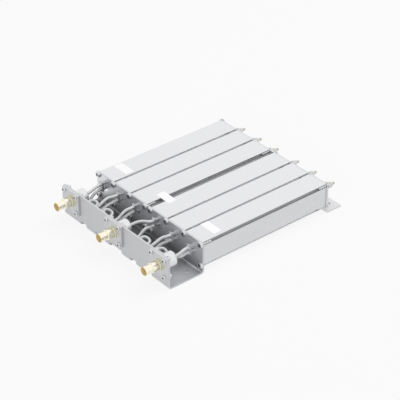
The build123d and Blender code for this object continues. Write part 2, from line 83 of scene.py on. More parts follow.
class Toward(Enum):
    """Which way a screw's head, a nut or a tuner's tip looks, as the turn that takes +Z there."""

    FRONT = (math.pi / 2, 0.0, 0.0)
    REAR = (-math.pi / 2, 0.0, 0.0)


class Side(Enum):
    """Where a jack sits on the front wall, as its X."""

    LEFT = -73.0
    MIDDLE = 0.0
    RIGHT = 73.0

    def __str__(self) -> str:
        """The word for it in the pieces' names."""
        return self.name.lower()


class Value:
    """A node's output that takes part in Python expressions, each of which adds Math nodes."""

    def __init__(self, graph: "Graph", node: bpy.types.Node, output: int | str = 0) -> None:
        """Stands for one output of a node.

        Args:
            graph: The graph that the node is in.
            node: The node.
            output: The output's name or index.
        """
        self.graph = graph
        self.node = node
        self.socket = node.outputs[output]

    def out(self, output: int | str) -> "Value":
        """Another output of the same node."""
        return Value(self.graph, self.node, output)

    def _math(self, operation: str, first: "Value | float", second: "Value | float" = 0.0) -> "Value":
        """One Math node.

        Args:
            operation: The node's operation.
            first: Its first operand.
            second: Its second operand, which some operations ignore.

        Returns:
            The node's result.
        """
        return self.graph.node("ShaderNodeMath", {"operation": operation}, {0: first, 1: second})

    def __add__(self, other: "Value | float") -> "Value":
        """self + other."""
        return self._math("ADD", self, other)

    def __radd__(self, other: float) -> "Value":
        """other + self."""
        return self._math("ADD", other, self)

    def __sub__(self, other: "Value | float") -> "Value":
        """self - other."""
        return self._math("SUBTRACT", self, other)

    def __rsub__(self, other: float) -> "Value":
        """other - self."""
        return self._math("SUBTRACT", other, self)

    def __mul__(self, other: "Value | float") -> "Value":
        """self * other."""
        return self._math("MULTIPLY", self, other)

    def __rmul__(self, other: float) -> "Value":
        """other * self."""
        return self._math("MULTIPLY", other, self)

    def __truediv__(self, other: "Value | float") -> "Value":
        """self / other."""
        return self._math("DIVIDE", self, other)

    def __gt__(self, other: "Value | float") -> "Value":
        """1 where self is more than other, else 0."""
        return self._math("GREATER_THAN", self, other)

    def root(self) -> "Value":
        """The square root."""
        return self._math("SQRT", self)

    def sine(self) -> "Value":
        """The sine."""
        return self._math("SINE", self)

    def least(self, floor: float) -> "Value":
        """self, but never under floor."""
        return self._math("MAXIMUM", self, floor)

    def most(self, ceiling: float) -> "Value":
        """self, but never over ceiling."""
        return self._math("MINIMUM", self, ceiling)

    def swing(self, width: float) -> "Value":
        """From -width / 2 where self is 0 to width / 2 where it is 1."""
        return (self - 0.5) * width

    def between(self, low: "Value | float", high: "Value | float") -> "Value":
        """low where self is 0 and high where it is 1."""
        return self * (high - low) + low


class Graph:
    """The nodes of a material, the world or a Geometry Nodes tree, all added through one method."""

    def __init__(self, tree: bpy.types.NodeTree) -> None:
        """Starts on an empty tree."""
        self.tree = tree
        tree.nodes.clear()

    def node(self, kind: str, settings: dict | None = None, sockets: dict | None = None,
             output: int | str = 0) -> Value | None:
        """Adds one node.

        Args:
            kind: The node's type.
            settings: Its own settings, set first.
            sockets: Values or links of its inputs, by name or index; a list feeds a multi-input.
            output: The output that the returned value stands for.

        Returns:
            The chosen output, or None for a node that has none.
        """
        made = self.tree.nodes.new(kind)
        for key, setting in (settings or {}).items():
            setattr(made, key, setting)
        for key, item in (sockets or {}).items():
            for one in item if isinstance(item, list) else [item]:
                if isinstance(one, Value):
                    self.tree.links.new(one.socket, made.inputs[key])
                else:
                    made.inputs[key].default_value = one
        return Value(self, made, output) if made.outputs else None

    def place(self) -> Value:
        """The point on the piece in millimetres, from its Object coordinates."""
        coords = self.node("ShaderNodeTexCoord", output="Object")
        return self.vector("MULTIPLY", coords, (1 / MM,) * 3)

    def seen(self) -> Value:
        """1 on rays from the camera and on those that metal or glass sends on, else 0."""
        path = self.node("ShaderNodeLightPath", output="Is Camera Ray")
        return (path + path.out("Is Glossy Ray") + path.out("Is Transmission Ray")).most(1.0)

    def vector(self, operation: str, first: Value, second: "Value | Point") -> Value:
        """One Vector Math node on two vectors."""
        return self.node("ShaderNodeVectorMath", {"operation": operation}, {0: first, 1: second})

    def parts(self, vector: Value) -> tuple[Value, Value, Value]:
        """A vector's X, Y and Z."""
        split = self.node("ShaderNodeSeparateXYZ", sockets={0: vector})
        return split.out(0), split.out(1), split.out(2)

    def join(self, x: "Value | float", y: "Value | float", z: "Value | float") -> Value:
        """A vector from its X, Y and Z."""
        return self.node("ShaderNodeCombineXYZ", sockets={0: x, 1: y, 2: z})

    def noise(self, at: Value, per_mm: Point, detail: float, distortion: float = 0.0) -> Value:
        """Noise around 0.5 with its own frequency along each axis.

        Args:
            at: Where it is read, in millimetres.
            per_mm: Features for each millimetre along X, Y and Z.
            detail: Octaves.
            distortion: How far it is warped.

        Returns:
            The noise's factor.
        """
        scaled = self.vector("MULTIPLY", at, per_mm)
        return self.node("ShaderNodeTexNoise", sockets={
            "Vector": scaled, "Scale": 1.0, "Detail": detail, "Distortion": distortion})

    def ramp(self, value: Value, low: float, high: float) -> Value:
        """0 up to low, 1 from high on, and smooth between."""
        return self.node("ShaderNodeMapRange", {"interpolation_type": "SMOOTHSTEP"}, {
            "Value": value, "From Min": low, "From Max": high})

    def blend(self, share: Value, first: "Value | Colour", second: "Value | Colour") -> Value:
        """first where share is 0 and second where it is 1."""
        ends = [end if isinstance(end, Value) else (*end, 1.0) for end in (first, second)]
        return self.node("ShaderNodeMix", {"data_type": "RGBA"}, {0: share, 6: ends[0], 7: ends[1]}, 2)

    def bump(self, height: Value, depth_mm: float, strength: float) -> Value:
        """The normal of a surface whose height runs from 0 to depth_mm."""
        return self.node("ShaderNodeBump", sockets={
            "Strength": strength, "Distance": depth_mm * MM, "Height": height}, output="Normal")


@dataclass(frozen=True)
class Finish:
    """A surface finish, which becomes one procedural material."""

    name: str
    slot: str
    colour: Colour
    roughness: float
    metallic: float = 1.0
    spread: float = 0.05

    def material(self) -> bpy.types.Material:
        """Builds the material, or finds it if it is built already.

        Returns:
            The material.
        """
        if self.name in bpy.data.materials:
            return bpy.data.materials[self.name]
        material = bpy.data.materials.new(self.name)
        material.use_nodes = True
        graph = Graph(material.node_tree)
        graph.node("ShaderNodeOutputMaterial", sockets={"Surface": self.shade(graph)})
        material.diffuse_color = (*self.colour, 1.0)
        return material

    def shade(self, graph: Graph) -> Value:
        """The finish's shader, which every kind of finish makes in its own way.

        Args:
            graph: The material's nodes.

        Returns:
            The shader.
        """
        raise NotImplementedError

    def tinted(self, graph: Graph, share: Value) -> Value:
        """The colour, which goes darker and lighter by its spread.

        Args:
            graph: The material's nodes.
            share: 0 where the colour is darkest and 1 where it is lightest.

        Returns:
            The colour.
        """
        dark = tuple(channel * (1 - self.spread) for channel in self.colour)
        light = tuple(min(1.0, channel * (1 + self.spread)) for channel in self.colour)
        return graph.blend(share, dark, light)

    def surface(self, graph: Graph, colour: Value, roughness: Value, normal: Value,
                **constants: float) -> Value:
        """The main shader.

        Args:
            graph: The material's nodes.
            colour: Base colour.
            roughness: Roughness.
            normal: Normal with its bump.
            constants: Other sockets, by name.

        Returns:
            The shader.
        """
        return graph.node("ShaderNodeBsdfPrincipled", sockets={
            "Base Color": colour, "Roughness": roughness, "Metallic": self.metallic, "Normal": normal,
            **constants})


@dataclass(frozen=True)
class DrawnMetal(Finish):
    """Metal with fine lines in one direction, from rolling or extruding, and faint handling marks.

    The lines run along the axis on which the grain has the fewest features for each millimetre.
    """

    spread: float = 0.02
    grain: Point = (0.03, 3.2, 3.2)
    grain_depth: float = 0.002
    broad_grain: float = 0.25
    cloud_grain: Point = (0.045, 0.045, 0.045)
    scuff_grain: Point = (0.35, 0.22, 0.35)
    scuff_edge: Span = (0.62, 0.74)
    scuff_height: float = 0.3
    scuff_roughness: float = 0.04
    tone_shares: Point = (0.45, 0.25, 0.30)

    def shade(self, graph: Graph) -> Value:
        """Fine and broad lines over a cloud, with sparse scuffs.

        Args:
            graph: The material's nodes.

        Returns:
            The shader.
        """
        at = graph.place()
        lines = graph.noise(at, self.grain, detail=3.0)
        broad = graph.noise(at, tuple(self.broad_grain * step for step in self.grain), detail=1.0)
        cloud = graph.noise(at, self.cloud_grain, detail=3.0, distortion=0.4)
        scuff = graph.ramp(graph.noise(at, self.scuff_grain, detail=4.0, distortion=1.2), *self.scuff_edge)
        line_share, broad_share, cloud_share = self.tone_shares
        tone = lines * line_share + broad * broad_share + cloud * cloud_share
        roughness = self.roughness + lines.swing(0.06) + cloud.swing(0.10) + scuff * self.scuff_roughness
        return self.surface(graph, self.tinted(graph, tone), roughness,
                            graph.bump(lines + scuff * self.scuff_height, self.grain_depth, 0.5))


@dataclass(frozen=True)
class ChannelSheet(DrawnMetal):
    """Drawn sheet bent to a channel, with painted shade deep inside and painted light towards its rims.

    The tones are factors on the colour from the darkest painted shade to the brightest painted light; the
    other spans are where along an axis each change begins and ends.
    """

    floor_tones: Span = (0.35, 1.08)
    plate_tones: Span = (0.58, 1.36)
    along_floor: Span = (30.0, 82.0)
    up_plate: Span = (3.0, 22.0)
    up_bend: Span = (2.2, 4.2)
    side_rim: Span = (86.0, 86.5)
    top_rim: Span = (35.3, 35.7)
    wall_back: Span = (-126.5, -125.7)

    def tinted(self, graph: Graph, share: Value) -> Value:
        """The sheet's colour times a factor of painted shade and light that rises along the channel's floor
        and up its end plate.

        Args:
            graph: The material's nodes.
            share: 0 where the grain is darkest and 1 where it is lightest.

        Returns:
            The colour.
        """
        x, y, z = graph.parts(graph.place())
        rims = (graph.ramp(x, *self.side_rim) + graph.ramp(z, *self.top_rim)).most(1.0)
        inside = graph.ramp(y, *self.wall_back) * (1.0 - rims)
        floor = graph.ramp(x, *self.along_floor).between(*self.floor_tones)
        plate = graph.ramp(z, *self.up_plate).between(*self.plate_tones)
        inner = graph.ramp(z, *self.up_bend).between(floor, plate)
        # The factor paints shade deep in the channel and light high on the end plate; the rims keep the plain
        # colour.
        factor = inside.between(1.0, inner)
        return graph.vector("MULTIPLY", super().tinted(graph, share), graph.join(factor, factor, factor))


@dataclass(frozen=True)
class TurnedMetal(Finish):
    """Plated metal turned on a lathe: fine rings across its axis, which lies along Y."""

    spread: float = 0.09
    rings: float = 4.0
    depth: float = 0.012
    around: float = 0.12
    tarnish_grain: Point = (0.5, 0.35, 0.5)

    def shade(self, graph: Graph) -> Value:
        """Rings of noise along Y with a faint tarnish.

        Args:
            graph: The material's nodes.

        Returns:
            The shader.
        """
        at = graph.place()
        rings = graph.noise(at, (self.around, self.rings, self.around), detail=2.0)
        tarnish = graph.noise(at, self.tarnish_grain, detail=3.0, distortion=0.6)
        return self.surface(graph, self.tinted(graph, rings * 0.4 + tarnish * 0.6),
                            self.roughness + rings.swing(0.10) + tarnish.swing(0.16),
                            graph.bump(rings, self.depth, 0.6))


@dataclass(frozen=True)
class DippedTin(Finish):
    """Hot tin or zinc over metal: soft runs and small pits, with duller patches where flux burned on."""

    lumps: float = 0.55
    depth: float = 0.06
    flux_grain: Point = (0.22, 0.22, 0.3)
    flux_edge: Span = (0.5, 0.72)
    flux_tone: float = 0.86
    flux_roughness: float = 0.14

    def shade(self, graph: Graph) -> Value:
        """Slow lumps under patches of flux.

        Args:
            graph: The material's nodes.

        Returns:
            The shader.
        """
        at = graph.place()
        lumps = graph.noise(at, (self.lumps,) * 3, detail=2.0, distortion=0.3)
        flux = graph.ramp(graph.noise(at, self.flux_grain, detail=3.0, distortion=0.8), *self.flux_edge)
        burned = tuple(channel * self.flux_tone for channel in self.colour)
        colour = graph.blend(flux * 0.5, self.tinted(graph, lumps), burned)
        roughness = self.roughness + flux * self.flux_roughness + lumps.swing(0.08)
        return self.surface(graph, colour, roughness, graph.bump(lumps, self.depth, 0.5))


@dataclass(frozen=True)
class SoakedBraid(Finish):
    """A woven braid soaked with tin, which shows as a shallow cross-hatch; read from the tube's UV map."""

    spread: float = 0.07
    carriers: int = 8
    lay: float = 0.42
    depth: float = 0.05
    girth: float = 10.0
    fill_grain: Point = (0.12, 0.12, 0.12)
    fill_edge: Span = (0.38, 0.66)
    relief: float = 1.15

    def shade(self, graph: Graph) -> Value:
        """Two crossing sets of strands, filled to a varying height.

        Args:
            graph: The material's nodes.

        Returns:
            The shader.
        """
        along, around, _ = graph.parts(graph.node("ShaderNodeUVMap", {"uv_map": "run"}))
        turn = around * (2 * math.pi * self.carriers)
        twist = along * (2 * math.pi * self.lay)
        strands = ((turn + twist).sine() * (turn - twist).sine()) * 0.5 + 0.5
        run = graph.join(along, around * self.girth, 0.0)
        filled = graph.ramp(graph.noise(run, self.fill_grain, detail=3.0), *self.fill_edge)
        tone = filled * 0.5 + strands * 0.5
        height = strands * (self.relief - filled)
        return self.surface(graph, self.tinted(graph, tone), self.roughness + filled.swing(-0.12),
                            graph.bump(height, self.depth, 0.55))


@dataclass(frozen=True)
class Moulded(Finish):
    """A plastic with a faint mould texture."""

    spread: float = 0.03
    pores: float = 2.5
    pore_depth: float = 0.01
    cloud_grain: Point = (0.3, 0.3, 0.3)
    index: float = 1.38

    def shade(self, graph: Graph) -> Value:
        """Fine pores over a cloud.

        Args:
            graph: The material's nodes.

        Returns:
            The shader.
        """
        at = graph.place()
        pores = graph.noise(at, (self.pores,) * 3, detail=2.0)
        cloud = graph.noise(at, self.cloud_grain, detail=2.0)
        return self.surface(graph, self.tinted(graph, cloud), self.roughness + pores.swing(0.1),
                            graph.bump(pores, self.pore_depth, 0.4), IOR=self.index)


UP_THE_PLATE = (3.0, 3.0, 0.03)
ALONG_THE_BAR = (2.6, 0.012, 2.6)

# The front bracket's sheet has painted shade inside its channel and painted light up its end plate.
ROLLED_SHEET = ChannelSheet("rolled_sheet", "sheet", (0.61, 0.614, 0.633), 0.38, 0.72)
REAR_SHEET = DrawnMetal("rear_sheet", "sheet", (0.715, 0.718, 0.735), 0.34, 0.72)
PLATE_SHEET = DrawnMetal("plate_sheet", "sheet", (0.635, 0.639, 0.658), 0.34, 0.72, grain=UP_THE_PLATE)
EXTRUDED_BAR = DrawnMetal("extruded_bar", "extrusion", (0.765, 0.768, 0.787), 0.33, 0.50, grain=ALONG_THE_BAR,
                          grain_depth=0.003)
# Painted shade inside the upper outer screw grooves and the upper groove beside the middle gap.
PORT_SHADE_BAR = DrawnMetal("groove_bar", "extrusion", (0.49, 0.495, 0.51), 0.50, 0.50, grain=ALONG_THE_BAR)
# Painted light on the walls of the middle gap and inside the lower outer screw grooves.
GAP_LIGHT_BAR = DrawnMetal("gap_bar", "extrusion", (0.90, 0.905, 0.92), 0.45, 0.50, grain=ALONG_THE_BAR)
JACK_BODY = TurnedMetal("jack_plate", "plated_brass", (0.915, 0.862, 0.72), 0.12)
JACK_FLANGE = TurnedMetal("flange_plate", "plated_brass", (0.98, 0.92, 0.68), 0.24, 0.7)
# A darker olive copy of the jack's plating: painted shade on the flange's front face and in the groove before
# the collar.
JACK_GROOVE = TurnedMetal("groove_tarnish", "plated_brass", (0.70, 0.64, 0.43), 0.36)
BORE_GOLD = TurnedMetal("bore_gold", "plated_brass", (1.0, 0.78, 0.44), 0.42, 0.06)
CONTACT_GOLD = TurnedMetal("contact_gold", "gold", (0.90, 0.62, 0.25), 0.22)
DIELECTRIC = Moulded("dielectric_white", "dielectric", (0.96, 0.85, 0.64), 0.42, 0.0)
FLUXED_BEAD = Moulded("fluxed_bead", "dielectric", (0.50, 0.47, 0.43), 0.45, 0.0)
TINNED_CAN = DippedTin("tinned_can", "tinned", (0.76, 0.765, 0.78), 0.34)
# A duller copy of the hoods' tin for the ferrules, whose darker colour is painted shade for their place deep
# in the channel.
SHADED_TIN = DippedTin("dull_tin", "tinned", (0.52, 0.525, 0.54), 0.42)
SOLDER = DippedTin("solder_fillet", "tinned", (0.60, 0.60, 0.61), 0.32, lumps=1.1, depth=0.12)
ZINC_STEEL = DippedTin("zinc_steel", "steel", (0.66, 0.665, 0.68), 0.22, lumps=1.6, depth=0.01)
# Near-black painted shade in the screws' cross recesses.
RECESS_SHADE = DippedTin("drive_recess", "steel", (0.07, 0.07, 0.075), 0.45, 0.6, lumps=1.6, depth=0.01)
BRAID = SoakedBraid("soaked_braid", "coax", (0.71, 0.715, 0.73), 0.45, 0.35)
SILVER_WIRE = DippedTin("silver_wire", "copper", (0.62, 0.57, 0.52), 0.32, lumps=1.2, depth=0.02)
SILVER_TUBE = TurnedMetal("silver_tube", "silvered", (0.88, 0.87, 0.84), 0.25, rings=2.0)
NICKEL_ROD = TurnedMetal("nickel_rod", "rod", (0.66, 0.635, 0.605), 0.26, rings=3.0)
LABEL_FILM = Moulded("label_film", "label", (0.985, 0.985, 0.985), 0.45, 0.0, pores=1.2)


class Shape:
    """A mesh that is built in millimetres and finished as plain Blender data."""

    POLE = 1e-6
    MERGE = 1e-5

    def __init__(self) -> None:
        """Starts empty, with a UV map for tubes."""
        self.bm = bmesh.new()
        self.run = self.bm.loops.layers.uv.new("run")

    def ring(self, middle: Vector, across: Vector, other: Vector, radius: float,
             sides: int) -> list[bmesh.types.BMVert]:
        """Adds a ring of vertices, or a single one where its radius is nothing.

        Args:
            middle: The ring's middle.
            across: The direction of its first vertex.
            other: The direction a quarter turn on.
            radius: Its radius.
            sides: How many vertices it has.

        Returns:
            The vertices, in order.
        """
        turns = [2 * math.pi * step / sides for step in range(sides if radius > self.POLE else 1)]
        return [self.bm.verts.new(middle + (across * math.cos(turn) + other * math.sin(turn)) * radius)
                for turn in turns]

    def lathe(self, centre: Point, toward: Point, profile: Sequence[Ring], sides: int = 64,
              bored: bool = True) -> None:
        """Adds a turned body.

        Args:
            centre: Where along is 0, on the axis.
            toward: The axis' direction, which isn't near Z.
            profile: (along, radius, finish index of the band that starts there) for each ring.
            sides: Segments round the axis.
            bored: True where the last ring joins the first, False where both ends are poles.
        """
        axis = Vector(toward).normalized()
        across = axis.cross(Vector((0.0, 0.0, 1.0))).normalized()
        other = axis.cross(across)
        rings = [self.ring(Vector(centre) + axis * along, across, other, radius, sides)
                 for along, radius, _ in profile]
        for place in range(len(rings) if bored else len(rings) - 1):
            first, second = rings[place], rings[(place + 1) % len(rings)]
            for step in range(sides):
                after = (step + 1) % sides
                corners = [first[step % len(first)], first[after % len(first)],
                           second[after % len(second)], second[step % len(second)]]
                corners = [corner for at, corner in enumerate(corners) if corner not in corners[:at]]
                if len(corners) > 2:
                    self.bm.faces.new(corners).material_index = profile[place][2]

    def tube(self, line: Sequence[Vector], radius: float, sides: int = 20) -> None:
        """Adds a round tube along a line, with length and turn in its UV map.

        Args:
            line: Points along the middle, in millimetres.
            radius: The tube's radius.
            sides: Segments round it.
        """
        tangents = [(line[min(at + 1, len(line) - 1)] - line[max(at - 1, 0)]).normalized()
                    for at in range(len(line))]
        across = tangents[0].orthogonal().normalized()
        rings, lengths = [], [0.0]
        for at, (point, tangent) in enumerate(zip(line, tangents)):
            across = (across - tangent * across.dot(tangent)).normalized()
            rings.append(self.ring(point, across, tangent.cross(across), radius, sides))
            if at:
                lengths.append(lengths[-1] + (point - line[at - 1]).length)
        for at in range(len(rings) - 1):
            for step in range(sides):
                after = (step + 1) % sides
                face = self.bm.faces.new([rings[at][step], rings[at][after],
                                          rings[at + 1][after], rings[at + 1][step]])
                spots = [(lengths[at], step), (lengths[at], step + 1),
                         (lengths[at + 1], step + 1), (lengths[at + 1], step)]
                for loop, (run, turn) in zip(face.loops, spots):
                    loop[self.run].uv = (run, turn / sides)
        self.bm.faces.new(rings[0])
        self.bm.faces.new(rings[-1])

    def mesh(self, name: str, sharp: float = 35.0) -> bpy.types.Mesh:
        """Turns what was built into a mesh in metres, outward and smooth but for its sharp edges.

        Args:
            name: The mesh's name.
            sharp: Angle in degrees from which an edge is sharp.

        Returns:
            The mesh.
        """
        bmesh.ops.remove_doubles(self.bm, verts=self.bm.verts, dist=self.MERGE)
        bmesh.ops.recalc_face_normals(self.bm, faces=self.bm.faces)
        bmesh.ops.scale(self.bm, vec=(MM, MM, MM), verts=self.bm.verts)
        mesh = bpy.data.meshes.new(name)
        self.bm.to_mesh(mesh)
        self.bm.free()
        return Stock.smoothed(mesh, sharp)


class Stock:
    """Ways of getting objects and plain meshes out of modifiers, curves and CAD nodes."""

    MERGE = 2e-6
    FLAT = 0.5

    @staticmethod
    def smoothed(mesh: bpy.types.Mesh, sharp: float) -> bpy.types.Mesh:
        """Shades a mesh smooth but for its sharp edges.

        Args:
            mesh: The mesh.
            sharp: Angle in degrees from which an edge is sharp.

        Returns:
            The same mesh.
        """
        mesh.shade_smooth()
        mesh.set_sharp_from_angle(angle=math.radians(sharp))
        return mesh

    @staticmethod
    def linked(name: str, data: bpy.types.ID) -> bpy.types.Object:
        """Puts a new object into the scene.

        Args:
            name: The object's name.
            data: Its mesh, curve, lamp or camera.

        Returns:
            The object.
        """
        obj = bpy.data.objects.new(name, data)
        bpy.context.scene.collection.objects.link(obj)
        return obj

    @staticmethod
    def plain(obj: bpy.types.Object, name: str) -> bpy.types.Mesh:
        """Applies an object's modifiers and removes the object.

        Args:
            obj: An object made only for this.
            name: Name of the mesh.

        Returns:
            The evaluated mesh.
        """
        depsgraph = bpy.context.evaluated_depsgraph_get()
        depsgraph.update()
        mesh = bpy.data.meshes.new_from_object(obj.evaluated_get(depsgraph), preserve_all_data_layers=True,
                                               depsgraph=depsgraph)
        mesh.name = name
        bpy.data.objects.remove(obj)
        return mesh

    @classmethod
    def spline(cls, route: Sequence[Point], resolution: int = 8) -> list[Vector]:
        """A smooth line that has the route's points as its control points.

        Args:
            route: Control points in millimetres.
            resolution: Steps for each control point.

        Returns:
            Points along the spline, in millimetres.
        """
        curve = bpy.data.curves.new("route", "CURVE")
        curve.dimensions = "3D"
        curve.resolution_u = resolution
        spline = curve.splines.new("NURBS")
        spline.points.add(len(route) - 1)
        for point, place in zip(spline.points, route):
            point.co = (*place, 1.0)
        spline.order_u = 3
        spline.use_endpoint_u = True
        mesh = cls.plain(cls.linked("temporary", curve), "route")
        line = [vertex.co.copy() for vertex in mesh.vertices]
        bpy.data.meshes.remove(mesh)
        return line

    @classmethod
    def softened(cls, node: bpy.types.Object, width: float, sharp: float = 40.0) -> bpy.types.Mesh:
        """A CAD node's shape with its loose triangles joined and its edges broken by a small bevel.

        Args:
            node: The CAD node.
            width: The bevel in millimetres.
            sharp: Angle in degrees from which an edge gets a bevel.

        Returns:
            The new mesh.
        """
        mesh = node.data.copy()
        for layer in [layer for layer in mesh.attributes if layer.name == "custom_normal"]:
            mesh.attributes.remove(layer)
        mesh.materials.clear()
        bm = bmesh.new()
        bm.from_mesh(mesh)
        bmesh.ops.remove_doubles(bm, verts=bm.verts, dist=cls.MERGE)
        bmesh.ops.recalc_face_normals(bm, faces=bm.faces)
        bmesh.ops.dissolve_limit(bm, angle_limit=math.radians(cls.FLAT), verts=bm.verts, edges=bm.edges)
        for edge in bm.edges:
            edge.smooth = True
        bm.to_mesh(mesh)
        bm.free()
        mesh.shade_smooth()
        obj = cls.linked("temporary", mesh)
        bevel = obj.modifiers.new("edges", "BEVEL")
        bevel.width = width * MM
        bevel.segments = 2
        bevel.limit_method = "ANGLE"
        bevel.angle_limit = math.radians(sharp)
        bevel.use_clamp_overlap = True
        bevel.harden_normals = True
        return cls.plain(obj, node.name)


class Hardware:
    """A Geometry Nodes tree with named sizes that sets one kind of fastener out on its seats."""

    name: ClassVar[str] = "hardware"
    sizes: ClassVar[dict[str, float]] = {}
    ridge: ClassVar[float] = 0.36

    def __init__(self) -> None:
        """Builds the tree, whose inputs are the seats, the sizes, the turns and the finishes."""
        kinds = {"Seats": "NodeSocketGeometry"}
        kinds |= dict.fromkeys((*self.sizes, "Turn", "Spread"), "NodeSocketFloat")
        kinds |= {"Seed": "NodeSocketInt", "Facing": "NodeSocketVector"}
        kinds |= dict.fromkeys(("Finish", "Recess Finish"), "NodeSocketMaterial")
        self.tree = bpy.data.node_groups.new(self.name, "GeometryNodeTree")
        interface = self.tree.interface
        interface.new_socket("Mesh", in_out="OUTPUT", socket_type="NodeSocketGeometry")
        self.inputs = {name: interface.new_socket(name, in_out="INPUT", socket_type=kind).identifier
                       for name, kind in kinds.items()}
        self.graph = Graph(self.tree)
        entry = self.graph.node("NodeGroupInput")
        given = {name: entry.out(name) for name in self.inputs}
        spin = self.graph.node("FunctionNodeRandomValue", {"data_type": "FLOAT"},
                               {2: 0.0, 3: given["Spread"], "Seed": given["Seed"]}, 1)
        x, y, z = self.graph.parts(given["Facing"])
        euler = self.graph.join(x, y + given["Turn"] + spin, z)
        rotation = self.graph.node("FunctionNodeEulerToRotation", sockets={0: euler})
        placed = self.graph.node("GeometryNodeInstanceOnPoints", sockets={
            "Points": given["Seats"], "Instance": self.shape(given), "Rotation": rotation})
        solid = self.graph.node("GeometryNodeRealizeInstances", sockets={0: placed})
        # Faces cut by the recess cutters keep the recess's painted shade; all others take the finish.
        recess = self.graph.node("GeometryNodeMaterialSelection", sockets={0: given["Recess Finish"]})
        others = self.graph.node("FunctionNodeBooleanMath", {"operation": "NOT"}, {0: recess})
        dressed = self.graph.node("GeometryNodeSetMaterial", sockets={
            "Geometry": solid, "Selection": others, "Material": given["Finish"]})
        self.graph.node("NodeGroupOutput", sockets={0: dressed})

    def shape(self, given: dict[str, Value]) -> Value:
        """One fastener on the origin, with +Z out of the surface it sits on.

        Args:
            given: The tree's inputs by name.

        Returns:
            Its mesh.
        """
        raise NotImplementedError

    def raised(self, solid: Value, height: "Value | float") -> Value:
        """A solid moved up along Z."""
        return self.graph.node("GeometryNodeTransform", sockets={
            "Geometry": solid, "Translation": self.graph.join(0.0, 0.0, height)})

    def barrel(self, radius: Value, low: "Value | float", high: Value, sides: int = 32) -> Value:
        """A closed cylinder along Z.

        Args:
            radius: Its radius.
            low: Its lower end.
            high: Its upper end.
            sides: How many sides it has.

        Returns:
            The cylinder.
        """
        graph = self.graph
        unit = graph.node("GeometryNodeMeshCylinder", {"fill_type": "NGON"}, {
            "Vertices": sides, "Radius": 1.0, "Depth": 1.0})
        return graph.node("GeometryNodeTransform", sockets={
            "Geometry": unit, "Scale": graph.join(radius, radius, high - low),
            "Translation": graph.join(0.0, 0.0, (high + low) * 0.5)})

    def cone(self, top: Value, bottom: Value, depth: Value, sides: int) -> Value:
        """A closed cone that stands on the origin, from its radii at the top and at the bottom."""
        return self.graph.node("GeometryNodeMeshCone", {"fill_type": "NGON"}, {
            "Vertices": sides, "Radius Top": top, "Radius Bottom": bottom, "Depth": depth})

    def block(self, x: Value, y: Value, z: Value, at: "Value | float") -> Value:
        """A box of those sides, centred on the Z axis at that height."""
        return self.raised(self.graph.node("GeometryNodeMeshCube", sockets={
            "Size": self.graph.join(x, y, z)}), at)

    def thread(self, radius: Value, low: Value, high: Value, pitch: Value, steps: int = 14) -> Value:
        """A helical ridge on a barrel along Z.

        Args:
            radius: The barrel's radius.
            low: The ridge's lower end.
            high: Its upper end.
            pitch: How far it climbs in a turn.
            steps: Segments for each turn.

        Returns:
            The ridge.
        """
        graph = self.graph
        tall = high - low
        helix = graph.node("GeometryNodeCurveSpiral", sockets={
            "Resolution": steps, "Rotations": tall / pitch, "Start Radius": radius, "End Radius": radius,
            "Height": tall})
        section = graph.node("GeometryNodeCurvePrimitiveCircle", {"mode": "RADIUS"}, {
            "Resolution": 3, "Radius": pitch * self.ridge})
        swept = graph.node("GeometryNodeCurveToMesh", sockets={
            "Curve": helix, "Profile Curve": section, "Fill Caps": True})
        return self.raised(swept, low)

    def cut(self, solid: Value, *cutters: Value) -> Value:
        """solid without the cutters."""
        return self.graph.node("GeometryNodeMeshBoolean", {"operation": "DIFFERENCE", "solver": "EXACT"},
                               {0: solid, 1: list(cutters)})

    def made(self, seats: Sequence[Point], sizes: Mapping[str, float], facing: Toward, finish: Finish,
             turn: float = 0.0, spread: float = 0.0, seed: int = 1,
             recess: Finish | None = None) -> bpy.types.Mesh:
        """Runs the tree.

        Args:
            seats: Where the fasteners sit, in millimetres.
            sizes: Values of the tree's sizes, in millimetres.
            facing: Which way they look.
            finish: Their finish.
            turn: Turn of each about its axis, in degrees.
            spread: Most that each is turned further, at random, in degrees.
            seed: The random turns' seed.
            recess: Finish of what a driver goes into, where it differs; for the screws, a near-black painted
                shade.

        Returns:
            One plain mesh of all of them.
        """
        points = bpy.data.meshes.new("seats")
        points.from_pydata([tuple(value * MM for value in seat) for seat in seats], [], [])
        obj = Stock.linked("temporary", points)
        modifier = obj.modifiers.new(self.name, "NODES")
        modifier.node_group = self.tree
        values = {name: size * MM for name, size in sizes.items()}
        values |= {"Turn": math.radians(turn), "Spread": math.radians(spread), "Seed": seed,
                   "Facing": facing.value, "Finish": finish.material(),
                   "Recess Finish": (recess or finish).material()}
        for name, value in values.items():
            modifier[self.inputs[name]] = value
        return Stock.smoothed(Stock.plain(obj, self.name), 32.0)


